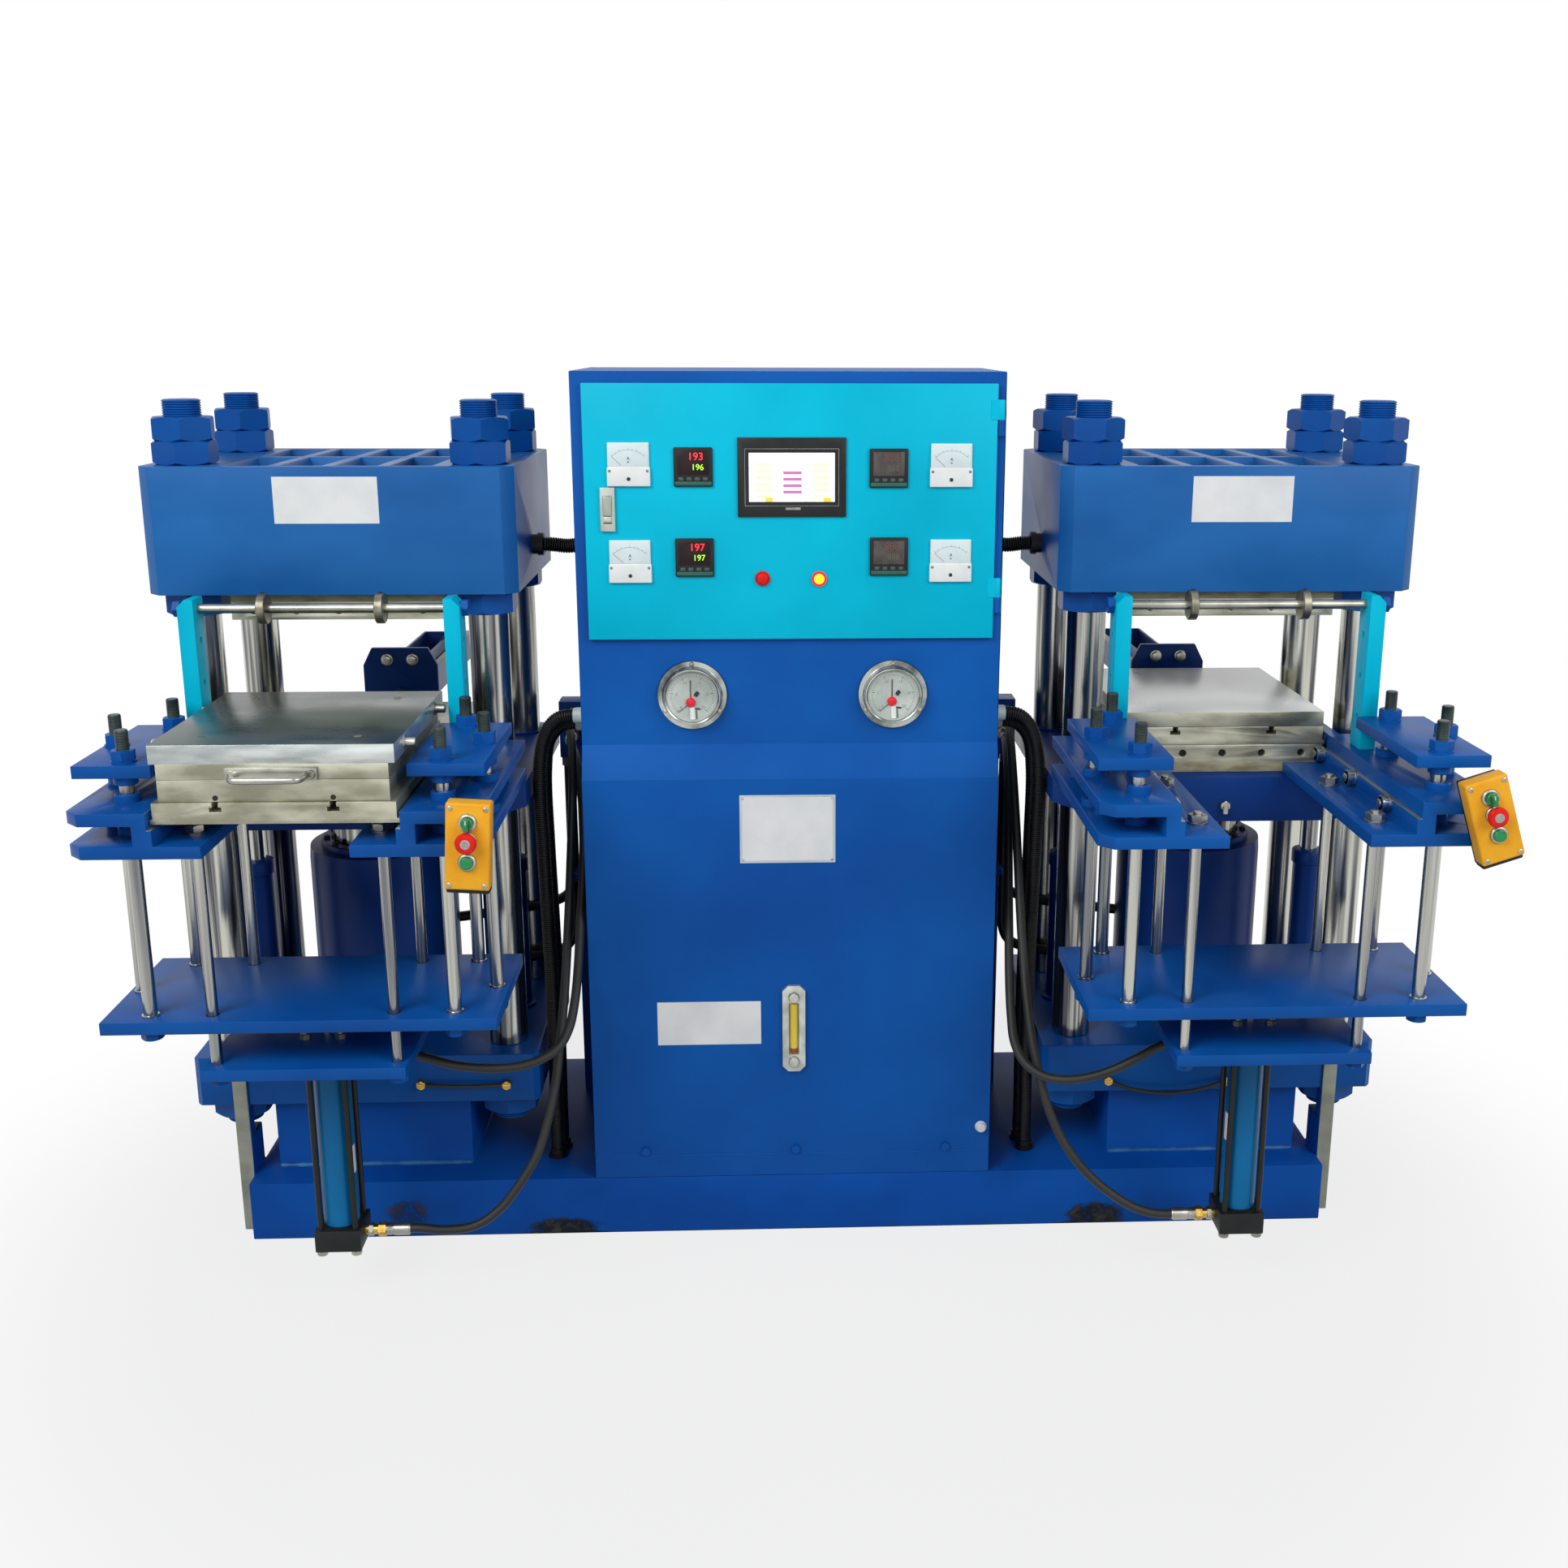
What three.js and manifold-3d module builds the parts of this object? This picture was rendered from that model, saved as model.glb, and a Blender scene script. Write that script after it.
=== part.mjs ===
// Twin-station silicone vulcanizing press: two four-column hot-plate presses beside one control cabinet.
// Millimetres, X to the right, Y to the back, Z up. The origin is on the floor, on the middle line,
// in the plane of the cabinet's upper front. Each press is built about its own middle line at x = 0.
import * as THREE from "three";
import { mergeVertices } from "three/addons/utils/BufferGeometryUtils.js";
import Module from "manifold-3d";

const wasm = await Module();
wasm.setup();

// Clearances and working allowances
const seatGap = 0.3;
const slideGap = 0.5;
const columnGap = 1;
const weldDepth = 1;
const cutOverrun = 6;

// Sizes at which a round gets more facets
const screwSize = 12;
const rodSize = 38;
const collarSize = 70;
const columnSize = 105;
const cylinderSize = 200;

// Layout
const pressGap = 114;
const baseHeight = 125;
const baseEndReach = 242;
const baseFront = -28;
const baseDepth = 588;
const skidSideReach = 10;
const skidDepth = 340;
const pedestalSideInset = 77;
const pedestalHeight = 152;
const pedestalFront = 50;
const pedestalDepth = 470;

// Legs, flat bars up the front of the lower beams
const legThickness = 29;
const legFront = 12;
const legDepth = 75;
const legShoulder = 84;
const legNeckDepth = 33;
const legStrapDepth = 7.7;
const legStrapRise = 102;

// Beams
const beamWidth = 694;
const beamDepth = 530;
const beamFront = 20;
const beamCornerCut = 24;
const upperBeamHeight = 240;
const lowerBeamHeight = 103;
const frameOpening = 943;
const pocketDepth = 60;
const pocketWall = 22;
const pocketColumns = 4;
const pocketRows = 2;

// Columns and their nuts
const columnInsetX = 70;
const columnInsetY = 82;
const columnSpacingX = beamWidth - 2 * columnInsetX;
const columnSpacingY = beamDepth - 2 * columnInsetY;
const columnDiameter = 78;
const threadDiameter = 70;
const columnNutWidth = 105;
const columnNutHeight = 44;
const lockNutTurnShare = 0.2;
const columnTopStub = 32;
const columnFootStub = 18;

// Main and side cylinders
const mainCylinderDiameter = 300;
const mainCylinderGap = 61;
const ramDiameter = 200;
const ramBoreDepth = 350;
const glandDiameter = 250;
const glandHeight = 14;
const sideCylinderInset = 9;
const sideCylinderDiameter = 62;
const sideCylinderDrop = 53;
const sideRodDiameter = 36;
const sideBoreDepth = 300;
const strokeFloor = 10;

// Moving platen and hot plates
const platenRestHeight = 573;
const platenEdge = 48;
const platenKeel = 93;
const platenKeelInset = 62;
const platenBossDiameter = 280;
const platenBossHeight = 25;
const hotPlateSideGap = 5;
const hotPlateFront = 57;
const hotPlateDepth = 455;
const lowerInsulation = 22;
const upperInsulation = 18;
const heaterThickness = 34;
const heaterHoles = 5;
const heaterHoleDiameter = 15;
const heaterHoleDepth = 40;
const heaterHoleInset = 43;

// Slide rails beside the mould
const railFront = -457;
const railBack = 50;
const railSideInset = 2;
const railFlangeReach = 112;
const railWebWidth = 33;
const railLipStep = 8;
const railFootReach = 78;
const railLipHeight = 29;
const railHeight = 79;
const railFlangeThickness = 22;
const railCornerCut = 25;
const railTongueBack = 300;
const railTongueGap = 6;
const ribThickness = 12;
const ribReach = 95;
const ribShares = [0.27, 0.783];
const rollerDiameter = 30;
const rollerWidth = 18;
const rollerShares = [0.258, 0.613, 0.972];

// Crossbar over the slide
const uprightSetback = 26;
const uprightThickness = 30;
const uprightFront = -85;
const uprightDepth = 55;
const uprightHeight = 298;
const uprightTopCut = 14;
const uprightHoleDiameter = 12;
const uprightHoles = 3;
const uprightHolePitch = 80;
const uprightHoleFirst = 60;
const crossRodDiameter = 18;
const crossRodDrop = 20;
const collarDiameter = 57;
const collarWidth = 16;
const collarOffset = 107;
const crossNutWidth = 30;
const crossNutHeight = 14;

// Ejector: a lifting frame, the plate that hangs from the rails, and the cylinder between them
const liftPlateInset = 2;
const liftPlateFront = -405;
const liftPlateDepth = 315;
const liftPlateThickness = 23;
const liftPlateDrop = 313;
const liftRodDiameter = 24;
const liftRodOuterInset = 25;
const liftRodInnerInset = 80;
const liftRodFront = -372;
const liftRodMiddle = -255;
const liftRodBack = -125;
const wingSideGap = 4;
const wingFront = -402;
const wingDepth = 308;
const wingThickness = 22;
const wingRise = 46;
const studRise = 56;
const rodNutWidth = 36;
const rodNutHeight = 19;
const hangerInset = 22;
const hangerFront = -402;
const hangerDepth = 307;
const hangerThickness = 22;
const hangerDrop = 70;
const hangerRodDiameter = 20;
const hangerRodInset = 42;
const hangerNutWidth = 30;
const hangerNutHeight = 15;
const hangerHoleGap = 2;
const ejectorCentreY = -235;
const ejectorTubeDiameter = 66;
const ejectorCapWidth = 86;
const ejectorCapHeight = 44;
const ejectorHeadHeight = 46;
const ejectorLength = 411;
const pistonRodDiameter = 32;
const pistonBoreDepth = 340;
const pistonRodReach = 340;
const tieRodDiameter = 11;
const tieRodOffset = 32;
const tieNutWidth = 18;
const tieNutHeight = 10;
const portDiameter = 22;
const portReach = 34;
const crimpDiameter = 27;
const crimpReach = 76.7;
const lowerPortHeight = 24;
const upperPortDrop = 25;

// Carriage with two T-slots, its plate and its mould
const carriageSideGap = 2;
const carriageLipReach = 4.5;
const carriageLipHeight = 8;
const carriageThickness = 36.7;
const slotOffset = 97;
const slotWidth = 10;
const slotDepth = 16;
const slotFootWidth = 20;
const slotFootHeight = 8;
const slideTravel = 500;
const slideRodDiameter = 16;
const slideRodLength = 588;
const plainPlateThickness = 30;
const mouldSideInset = 10.5;
const mouldInset = 6;
const mouldBaseThickness = 37.7;
const handlePlateThickness = 26.4;
const mouldTopThickness = 33;
const mouldTopReach = 11;
const mouldTopSetback = 25;
const pinDiameter = 16;
const pinReach = 20;
const pinInsetShare = 0.19;
const handleBracketWidth = 152;
const handleBracketHeight = 22;
const handleBracketDepth = 10;
const handleSpan = 116;
const handleReach = 40;
const handleDiameter = 12;
const handleBend = 16;
const handleSides = 8;
const handleSteps = 11;
const screwDiameter = 15;
const screwHeight = 7;
const screwOffset = 66;

// Slide cylinder behind the platen
const slideBracketY = 548;
const slideBracketThickness = 12;
const slideBracketHalfWidth = 82;
const slideBracketRise = 171;
const slideBracketSill = 52;
const slideBracketShoulder = 39;
const slideBracketTopHalfWidth = 62;
const slideFootHalfWidth = 56;
const slideFootFront = 520;
const slideFootDepth = 40;
const slideChannelLength = 560;
const slideChannelHalfWidth = 62;
const slideChannelHeight = 62;
const slideChannelWall = 6;
const slideTubeDiameter = 44;
const slideBoltDiameter = 17;
const slideBoltOffset = 28;
const slideBoltDrop = 26;

// Control station on the front end of the right-hand rail
const stationWidth = 74;
const stationHeight = 158;
const stationLidDepth = 34;
const stationBackDepth = 14;
const stationCorner = 6;
const stationPlateThickness = 3;
const stationPlateInset = 8;
const stationInset = { left: 18, right: 32 };
const stationDrop = { left: 51.6, right: 22.6 };
const stationRoll = { left: 3.5, right: -18 };
const selectorHeight = 47;
const stopHeight = 16;
const startHeight = -21;
const controlBezelDiameter = 30;
const controlBezelDepth = 5;
const controlHoleDiameter = 20;
const controlHoleDepth = 22;
const controlStemDiameter = 18;
const stopHeadDiameter = 36;
const stopHeadDepth = 12;
const stopStandoff = 7;
const startButtonDiameter = 22;
const startStandoff = 5;
const selectorKnobDiameter = 20;
const selectorKnobDepth = 8;
const selectorGripWidth = 7;
const selectorGripDepth = 10;
const stemReach = 12;

// Cabinet
const cabinetHalfWidth = 404;
const cabinetDepth = 372;
const cabinetHeight = 1613;
const cabinetWall = 14;
const cavityFloorRise = 17;
const tankFaceProud = 28;
const tankSlopeDrop = 208;
const tankSlopeHeight = 64;
const doorLatchGap = 22;
const doorHingeGap = 17;
const doorTopGap = 21.3;
const doorHeight = 476;
const doorThickness = 12;
const doorLandWidth = 12;
const hingeInset = 9.5;
const hingeSetback = 9;
const hingeDiameter = 13;
const hingePinDiameter = 7;
const turnGap = 1;
const hingeLength = 30;
const hingeShares = [0.164, 0.861];

// Instruments on the door
const ammeterSize = 80;
const ammeterProud = 5;
const ammeterBodySize = 66;
const ammeterBodyDepth = 55;
const ammeterShares = [[0.109, 0.691], [0.889, 0.687], [0.107, 0.313], [0.891, 0.313]];
const controllerSize = 72;
const controllerProud = 6;
const controllerBodySize = 66;
const controllerBodyDepth = 75;
const controllerShares = [[0.264, 0.681], [0.737, 0.676], [0.264, 0.328], [0.739, 0.33]];
const screenShares = [0.502, 0.641];
const screenWidth = 202;
const screenHeight = 146;
const screenProud = 5;
const screenRecess = 2;
const screenGlassWidth = 161;
const screenGlassHeight = 91;
const screenBodyDepth = 45;
const screenBodyInset = 7;
const heatingButtonShares = [0.429, 0.244];
const lampShares = [0.568, 0.242];
const lampDiameter = 29;
const lampProud = 9;
const heatingBezelDiameter = 29;
const heatingBezelProud = 4;
const heatingCapDiameter = 22;
const heatingCapProud = 9;
const heatingStemDiameter = 14;
const heatingStemLength = 30;
const lockShares = [0.056, 0.517];
const lockWidth = 28;
const lockHeight = 82;
const lockProud = 12;
const lockCorner = 5;
const lockStemDiameter = 16;
const lockCamLength = 30;
const lockCamWidth = 14;
const lockCamThickness = 3;
const lockCamSetback = 6;

// Pressure gauges and oil level gauge
const gaugeShares = { left: -0.468, right: 0.488 };
const gaugeDrop = 110;
const gaugeFlangeDiameter = 134;
const gaugeFlangeThickness = 6;
const gaugeBezelDiameter = 110;
const gaugeBezelProud = 20;
const gaugeBezelWall = 5;
const gaugeFaceDepth = 8;
const gaugeBodyDiameter = 100;
const gaugeBodyDepth = 45;
const gaugePortDiameter = 14;
const gaugePortLength = 24;
const levelGaugeCentreX = 3;
const levelGaugeRise = 234.7;
const levelGaugeHeight = 184;
const levelGaugeWidth = 46;
const levelGaugeDepth = 10;
const levelWindowWidth = 20;
const levelWindowHeight = 110;
const levelBoltDiameter = 20;
const levelBoltHeight = 8;

// Cable conduits from the cabinet to the upper beams
const conduitRise = 66.7;
const conduitY = 260;
const conduitDiameter = 30;
const conduitRootDiameter = 26;
const conduitBoreDiameter = 19;
const conduitGlandDiameter = 38;
const conduitGlandLength = 24;
const conduitSag = 34;
const conduitRibs = 6;
const conduitSides = 8;
const conduitBoreRings = 3;
const conduitStraight = 14;

// Hydraulic unit behind the cabinet
const tankSideReach = 66;
const tankGap = 20;
const tankDepth = 480;
const tankHeight = 520;
const tankLidThickness = 14;
const tankLidOverhang = 8;
const motorDiameter = 230;
const motorLength = 400;
const motorFins = 24;
const motorFinHeight = 9;
const motorFootHeight = 30;
const motorFootWidth = 190;
const motorFootLength = 240;
const motorBoxSize = 100;
const motorBoxRise = 38;
const bellDiameter = 160;
const bellLength = 120;
const pumpDiameter = 110;
const pumpLength = 130;
const valveBlockWidth = 420;
const valveBlockDepth = 110;
const valveBlockHeight = 130;
const valveCount = 3;
const valveSize = 56;
const valveLength = 130;
const portBlockOffset = 36;
const portBlockWidth = 62;
const portBlockSetback = 58;
const portBlockDepth = 60;
const portBlockHeight = 125;
const portBlockBottom = 900;
const portPostWidth = 30;
const upperHosePortRise = 101;
const lowerHosePortRise = 55;
const hosePortReach = 30;

// Hydraulic hoses, laid by hand from the ejector cylinder to the port block behind the cabinet
const hoseDiameter = 18;
const hoseSides = 8;
const hoseSteps = 24;
const hoseRoutes = {
  left_lower: [[-744.7, -235, 138], [-715, -235, 138], [-679, -231, 131], [-618, -220, 132], [-572, -208, 158],
    [-533, -192, 203], [-499, -172, 256], [-480, -150, 313], [-466, -122, 376], [-458, -90, 447],
    [-450, -45, 547], [-446, 5, 646], [-444, 60, 746], [-444, 125, 846], [-447, 190, 923],
    [-455, 255, 975], [-464, 310, 996], [-471, 362, 1001], [-471, 399.7, 1001]],
  left_upper: [[-744.7, -235, 500], [-715, -236, 500], [-692, -241, 496], [-634, -246, 480], [-575, -240, 470],
    [-524, -225, 465], [-481, -206, 470], [-448, -183, 485], [-430, -158, 512], [-421, -122, 555],
    [-418, -75, 608], [-418, -10, 685], [-418, 65, 764], [-424, 145, 836], [-436, 220, 893],
    [-452, 290, 935], [-466, 340, 952], [-471, 368, 955], [-471, 399.7, 955]],
  right_lower: [[744.7, -235, 138], [712, -235, 138], [668, -230, 148], [621, -220, 174], [574, -206, 212],
    [530, -192, 268], [499, -172, 334], [483, -150, 395], [471, -122, 455], [464, -90, 520],
    [460, -45, 603], [459, 5, 688], [460, 60, 772], [462, 125, 855], [464, 190, 924],
    [467, 255, 974], [470, 310, 996], [471, 362, 1001], [471, 399.7, 1001]],
  right_upper: [[744.7, -235, 500], [718, -236, 500], [691, -241, 493], [650, -246, 472], [606, -240, 446],
    [562, -226, 425], [519, -208, 413], [482, -190, 414], [449, -165, 432], [433, -140, 462],
    [430, -108, 503], [431, -65, 560], [437, 0, 638], [444, 70, 715], [453, 150, 795],
    [461, 220, 863], [467, 290, 919], [470, 338, 948], [471, 368, 955], [471, 399.7, 955]],
};

// Widths worked out from the cabinet, the beams and the columns
const pressOffset = cabinetHalfWidth + pressGap + beamWidth / 2;
const baseHalfWidth = pressOffset + baseEndReach;
const pedestalHalfWidth = columnSpacingX / 2 - pedestalSideInset;
const sideCylinderOffset = columnSpacingX / 2 - sideCylinderInset;
const platenKeelHalfWidth = columnSpacingX / 2 - platenKeelInset;
const railFlangeOuter = beamWidth / 2 - railSideInset;
const railWebOuter = railFlangeOuter - railFlangeReach;
const railWebInner = railWebOuter - railWebWidth;
const railLipInner = railWebInner + railLipStep;
const railFlangeInner = railWebInner - railFootReach;
const hotPlateHalfWidth = railLipInner - hotPlateSideGap;
const heaterHolePitch = (2 * (hotPlateHalfWidth - heaterHoleInset)) / (heaterHoles - 1);
const uprightInner = railWebInner + uprightSetback;
const liftPlateHalfWidth = railFlangeOuter - liftPlateInset;
const liftRodOuter = railFlangeOuter - liftRodOuterInset;
const liftRodInner = railFlangeOuter - liftRodInnerInset;
const wingInner = railLipInner + wingSideGap;
const hangerHalfWidth = railWebInner - hangerInset;
const hangerRodOffset = railWebInner - hangerRodInset;
const carriageLipHalfWidth = railLipInner - carriageSideGap;
const carriageHalfWidth = carriageLipHalfWidth - carriageLipReach;
const mouldHalfWidth = carriageHalfWidth - mouldSideInset;
const mouldTopHalfWidth = mouldHalfWidth + mouldTopReach;
const doorLeft = doorLatchGap - cabinetHalfWidth;
const doorRight = cabinetHalfWidth - doorHingeGap;
const hingeX = cabinetHalfWidth - hingeInset;
const tankHalfWidth = cabinetHalfWidth + tankSideReach;
const skidHalfWidth = tankHalfWidth + skidSideReach;
const portBlockInner = cabinetHalfWidth + portBlockOffset;
const portBlockFront = cabinetDepth + portBlockSetback;
const hosePortX = portBlockInner + portBlockWidth / 2;
const ribPlaces = ribShares.map(alongRail);
const rollerPlaces = rollerShares.map(alongRail);

// Heights worked out from the stack
const lowerBeamBottom = baseHeight + pedestalHeight + seatGap;
const lowerBeamTop = lowerBeamBottom + lowerBeamHeight;
const upperBeamBottom = lowerBeamTop + frameOpening;
const upperBeamTop = upperBeamBottom + upperBeamHeight;
const pressCentreY = beamFront + beamDepth / 2;
const conduitHeight = upperBeamBottom + conduitRise;
const platenTop = lowerBeamTop + platenRestHeight;
const mainCylinderHeight = platenRestHeight - platenKeel - platenBossHeight - mainCylinderGap;
const sideCylinderHeight = mainCylinderHeight - sideCylinderDrop;
const lowerHeaterTop = platenTop + seatGap + lowerInsulation + heaterThickness;
const railBottom = platenTop + seatGap;
const railTop = railBottom + railHeight;
const carriageBottom = lowerHeaterTop + seatGap;
const carriageTop = carriageBottom + carriageThickness;
const liftPlateTop = railBottom - liftPlateDrop;
const wingBottom = railTop + wingRise;
const hangerTop = liftPlateTop - liftPlateThickness - hangerDrop;
const ejectorHeadTop = hangerTop - hangerThickness - seatGap;
const ejectorBottom = ejectorHeadTop - ejectorLength;
const slideAxisHeight = carriageBottom + carriageThickness / 2;
const cabinetBottom = baseHeight + seatGap;
const cabinetTop = cabinetBottom + cabinetHeight;
const doorTop = cabinetTop - doorTopGap;
const doorBottom = doorTop - doorHeight;
const tankSlopeTop = doorBottom - tankSlopeDrop;
const tankFaceTop = tankSlopeTop - tankSlopeHeight;
const gaugeHeight = doorBottom - gaugeDrop;
const levelGaugeBottom = cabinetBottom + levelGaugeRise;
const upperHosePort = portBlockBottom + upperHosePortRise;
const lowerHosePort = portBlockBottom + lowerHosePortRise;
const liftRodPlaces = [[liftRodInner, liftRodFront], [liftRodOuter, liftRodMiddle], [liftRodInner, liftRodBack]];

// Paints and metals
const paints = {
  blue: { color: 0x1450aa, roughness: 0.45, metalness: 0.1 },
  darkBlue: { color: 0x10327a, roughness: 0.5, metalness: 0.1 },
  cyan: { color: 0x00b4d4, roughness: 0.45, metalness: 0.1 },
  tubeBlue: { color: 0x0082be, roughness: 0.4, metalness: 0.2 },
  steel: { color: 0xa9aaa2, roughness: 0.4, metalness: 0.9 },
  chrome: { color: 0xcfd2d4, roughness: 0.15, metalness: 1 },
  black: { color: 0x161616, roughness: 0.6, metalness: 0.1 },
  yellow: { color: 0xfab932, roughness: 0.4, metalness: 0 },
  red: { color: 0xe02818, roughness: 0.35, metalness: 0 },
  green: { color: 0x128a4a, roughness: 0.35, metalness: 0 },
};

// Solid-making helpers
function solidOf(geometry) {
  const bare = geometry.clone();
  bare.deleteAttribute("normal");
  bare.deleteAttribute("uv");
  const merged = mergeVertices(bare);
  const vertProperties = new Float32Array(merged.attributes.position.array);
  const triVerts = new Uint32Array(merged.index.array);
  return new wasm.Manifold(new wasm.Mesh({ numProp: 3, vertProperties, triVerts }));
}

function block(x0, x1, y0, y1, z0, z1) {
  const geometry = new THREE.BoxGeometry(x1 - x0, y1 - y0, z1 - z0);
  geometry.translate((x0 + x1) / 2, (y0 + y1) / 2, (z0 + z1) / 2);
  return solidOf(geometry);
}

// Facets grow with the size of the round; the many columns keep fewer
function sidesFor(diameter) {
  if (diameter < screwSize) return 6;
  if (diameter < rodSize) return 8;
  if (diameter < collarSize) return 12;
  if (diameter < columnSize) return 10;
  if (diameter < cylinderSize) return 16;
  return 20;
}

function roundOutline(radius, sides) {
  const points = [];
  for (let corner = 0; corner < sides; corner++) {
    const angle = (corner * 2 * Math.PI) / sides;
    points.push([radius * Math.cos(angle), radius * Math.sin(angle)]);
  }
  return points;
}

// A round bar along Z, centred on its own axis
function drum(diameter, length, extra) {
  const outline = outlineShape(roundOutline(diameter / 2 + extra, sidesFor(diameter)));
  const geometry = new THREE.ExtrudeGeometry(outline, { depth: length, bevelEnabled: false });
  geometry.translate(0, 0, -length / 2);
  return geometry;
}

function upright(diameter, x, y, z0, z1, extra = 0) {
  const geometry = drum(diameter, z1 - z0, extra);
  geometry.translate(x, y, (z0 + z1) / 2);
  return solidOf(geometry);
}

function crosswise(diameter, y, z, x0, x1, extra = 0) {
  const geometry = drum(diameter, x1 - x0, extra);
  geometry.rotateY(Math.PI / 2);
  geometry.translate((x0 + x1) / 2, y, z);
  return solidOf(geometry);
}

function lengthwise(diameter, x, z, y0, y1, extra = 0) {
  const geometry = drum(diameter, y1 - y0, extra);
  geometry.rotateX(Math.PI / 2);
  geometry.translate(x, (y0 + y1) / 2, z);
  return solidOf(geometry);
}

// Outlines are lists of pairs: X and Z for a piece run along Y, X and Y for one run along Z
function outlineShape(points) {
  return new THREE.Shape(points.map(([a, b]) => new THREE.Vector2(a, b)));
}

function extrudedAlongY(points, y0, y1) {
  const geometry = new THREE.ExtrudeGeometry(outlineShape(points), { depth: y1 - y0, bevelEnabled: false });
  geometry.rotateX(Math.PI / 2);
  geometry.translate(0, y1, 0);
  return solidOf(geometry);
}

function extrudedAlongZ(points, z0, z1) {
  const geometry = new THREE.ExtrudeGeometry(outlineShape(points), { depth: z1 - z0, bevelEnabled: false });
  geometry.translate(0, 0, z0);
  return solidOf(geometry);
}

function cornerCutOutline(x0, x1, y0, y1, cut) {
  return [
    [x0 + cut, y0], [x1 - cut, y0], [x1, y0 + cut], [x1, y1 - cut],
    [x1 - cut, y1], [x0 + cut, y1], [x0, y1 - cut], [x0, y0 + cut],
  ];
}

// A hexagon nut, turned about its axis by a share of a flat
function nut(acrossFlats, x, y, z0, z1, turnShare = 0) {
  const outline = outlineShape(roundOutline(acrossFlats / Math.sqrt(3), 6));
  const geometry = new THREE.ExtrudeGeometry(outline, { depth: z1 - z0, bevelEnabled: false });
  geometry.rotateZ((turnShare * Math.PI) / 3);
  geometry.translate(x, y, z0);
  return solidOf(geometry);
}

function joined(solids) {
  return solids.reduce((whole, piece) => whole.add(piece));
}

function without(solid, cutters) {
  return cutters.reduce((left, cutter) => left.subtract(cutter), solid);
}

function meshOf(name, solid, paint) {
  const { vertProperties, triVerts, numProp } = solid.getMesh();
  const geometry = new THREE.BufferGeometry();
  const positions = new Float32Array((vertProperties.length / numProp) * 3);
  for (let i = 0; i < positions.length / 3; i++) {
    positions.set(vertProperties.subarray(i * numProp, i * numProp + 3), i * 3);
  }
  geometry.setAttribute("position", new THREE.BufferAttribute(positions, 3));
  geometry.setIndex(new THREE.BufferAttribute(new Uint32Array(triVerts), 1));
  geometry.computeVertexNormals();
  const mesh = new THREE.Mesh(geometry, new THREE.MeshStandardMaterial(paint));
  mesh.name = name;
  return mesh;
}

function mirrored(solid) {
  return solid.mirror([1, 0, 0]);
}

function bothSides(solid) {
  return [solid, mirrored(solid)];
}

function columnPlaces() {
  const places = [];
  for (const sideX of [-1, 1]) {
    for (const sideY of [-1, 1]) {
      places.push([(sideX * columnSpacingX) / 2, pressCentreY + (sideY * columnSpacingY) / 2]);
    }
  }
  return places;
}

// Base: one platform, a pedestal under each press, a skid at the back and a flat leg at each outer front
function baseFrame() {
  const platform = block(-baseHalfWidth, baseHalfWidth, baseFront, baseFront + baseDepth, 0, baseHeight);
  const platformBack = baseFront + baseDepth;
  const skid = block(-skidHalfWidth, skidHalfWidth, platformBack - weldDepth, platformBack + skidDepth, 0,
    baseHeight);
  const parts = [platform, skid];
  for (const side of [-1, 1]) {
    const x = side * pressOffset;
    const pedestalBack = pedestalFront + pedestalDepth;
    parts.push(block(x - pedestalHalfWidth, x + pedestalHalfWidth, pedestalFront, pedestalBack,
      baseHeight - weldDepth, baseHeight + pedestalHeight));
  }
  return joined([...parts, ...bothSides(leg())]);
}

function leg() {
  const x0 = baseHalfWidth - weldDepth;
  const x1 = baseHalfWidth + legThickness;
  const shoulderTop = baseHeight + legShoulder;
  const neckTop = lowerBeamBottom;
  const post = block(x0, x1, legFront, legFront + legDepth, 0, shoulderTop);
  const neck = block(x0 + weldDepth, x1, legFront, legFront + legNeckDepth, shoulderTop - weldDepth, neckTop);
  const strap = block(x0 + weldDepth, x1, legFront, legFront + legStrapDepth, neckTop - weldDepth,
    neckTop + legStrapRise);
  return joined([post, neck, strap]);
}

// Upper beam: a heavy box with open pockets between ribs on top, and a gland hole in its inner side
function upperBeam(inner) {
  const half = beamWidth / 2;
  const outline = cornerCutOutline(-half, half, beamFront, beamFront + beamDepth, beamCornerCut);
  const body = extrudedAlongZ(outline, upperBeamBottom, upperBeamTop);
  const bores = columnPlaces().map(([x, y]) =>
    upright(threadDiameter, x, y, upperBeamBottom - cutOverrun, upperBeamTop + cutOverrun, columnGap));
  return joined([without(body, [...bores, ...beamPockets()]), conduitGland(inner)]);
}

function beamPockets() {
  const reachX = columnSpacingX / 2 - columnNutWidth / Math.sqrt(3) - pocketWall;
  const reachY = columnSpacingY / 2 + columnNutWidth / 2;
  const pitchX = (2 * reachX + pocketWall) / pocketColumns;
  const pitchY = (2 * reachY + pocketWall) / pocketRows;
  const pockets = [];
  for (let i = 0; i < pocketColumns; i++) {
    for (let j = 0; j < pocketRows; j++) {
      const x0 = -reachX + i * pitchX;
      const y0 = pressCentreY - reachY + j * pitchY;
      pockets.push(block(x0, x0 + pitchX - pocketWall, y0, y0 + pitchY - pocketWall,
        upperBeamTop - pocketDepth, upperBeamTop + cutOverrun));
    }
  }
  return pockets;
}

function conduitGland(inner) {
  const face = beamWidth / 2 - weldDepth;
  const tip = beamWidth / 2 + conduitGlandLength;
  const tube = crosswise(conduitGlandDiameter, conduitY, conduitHeight, face, tip);
  const bore = crosswise(conduitBoreDiameter, conduitY, conduitHeight, face + weldDepth, tip + cutOverrun);
  const gland = tube.subtract(bore);
  return inner > 0 ? gland : mirrored(gland);
}

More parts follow.
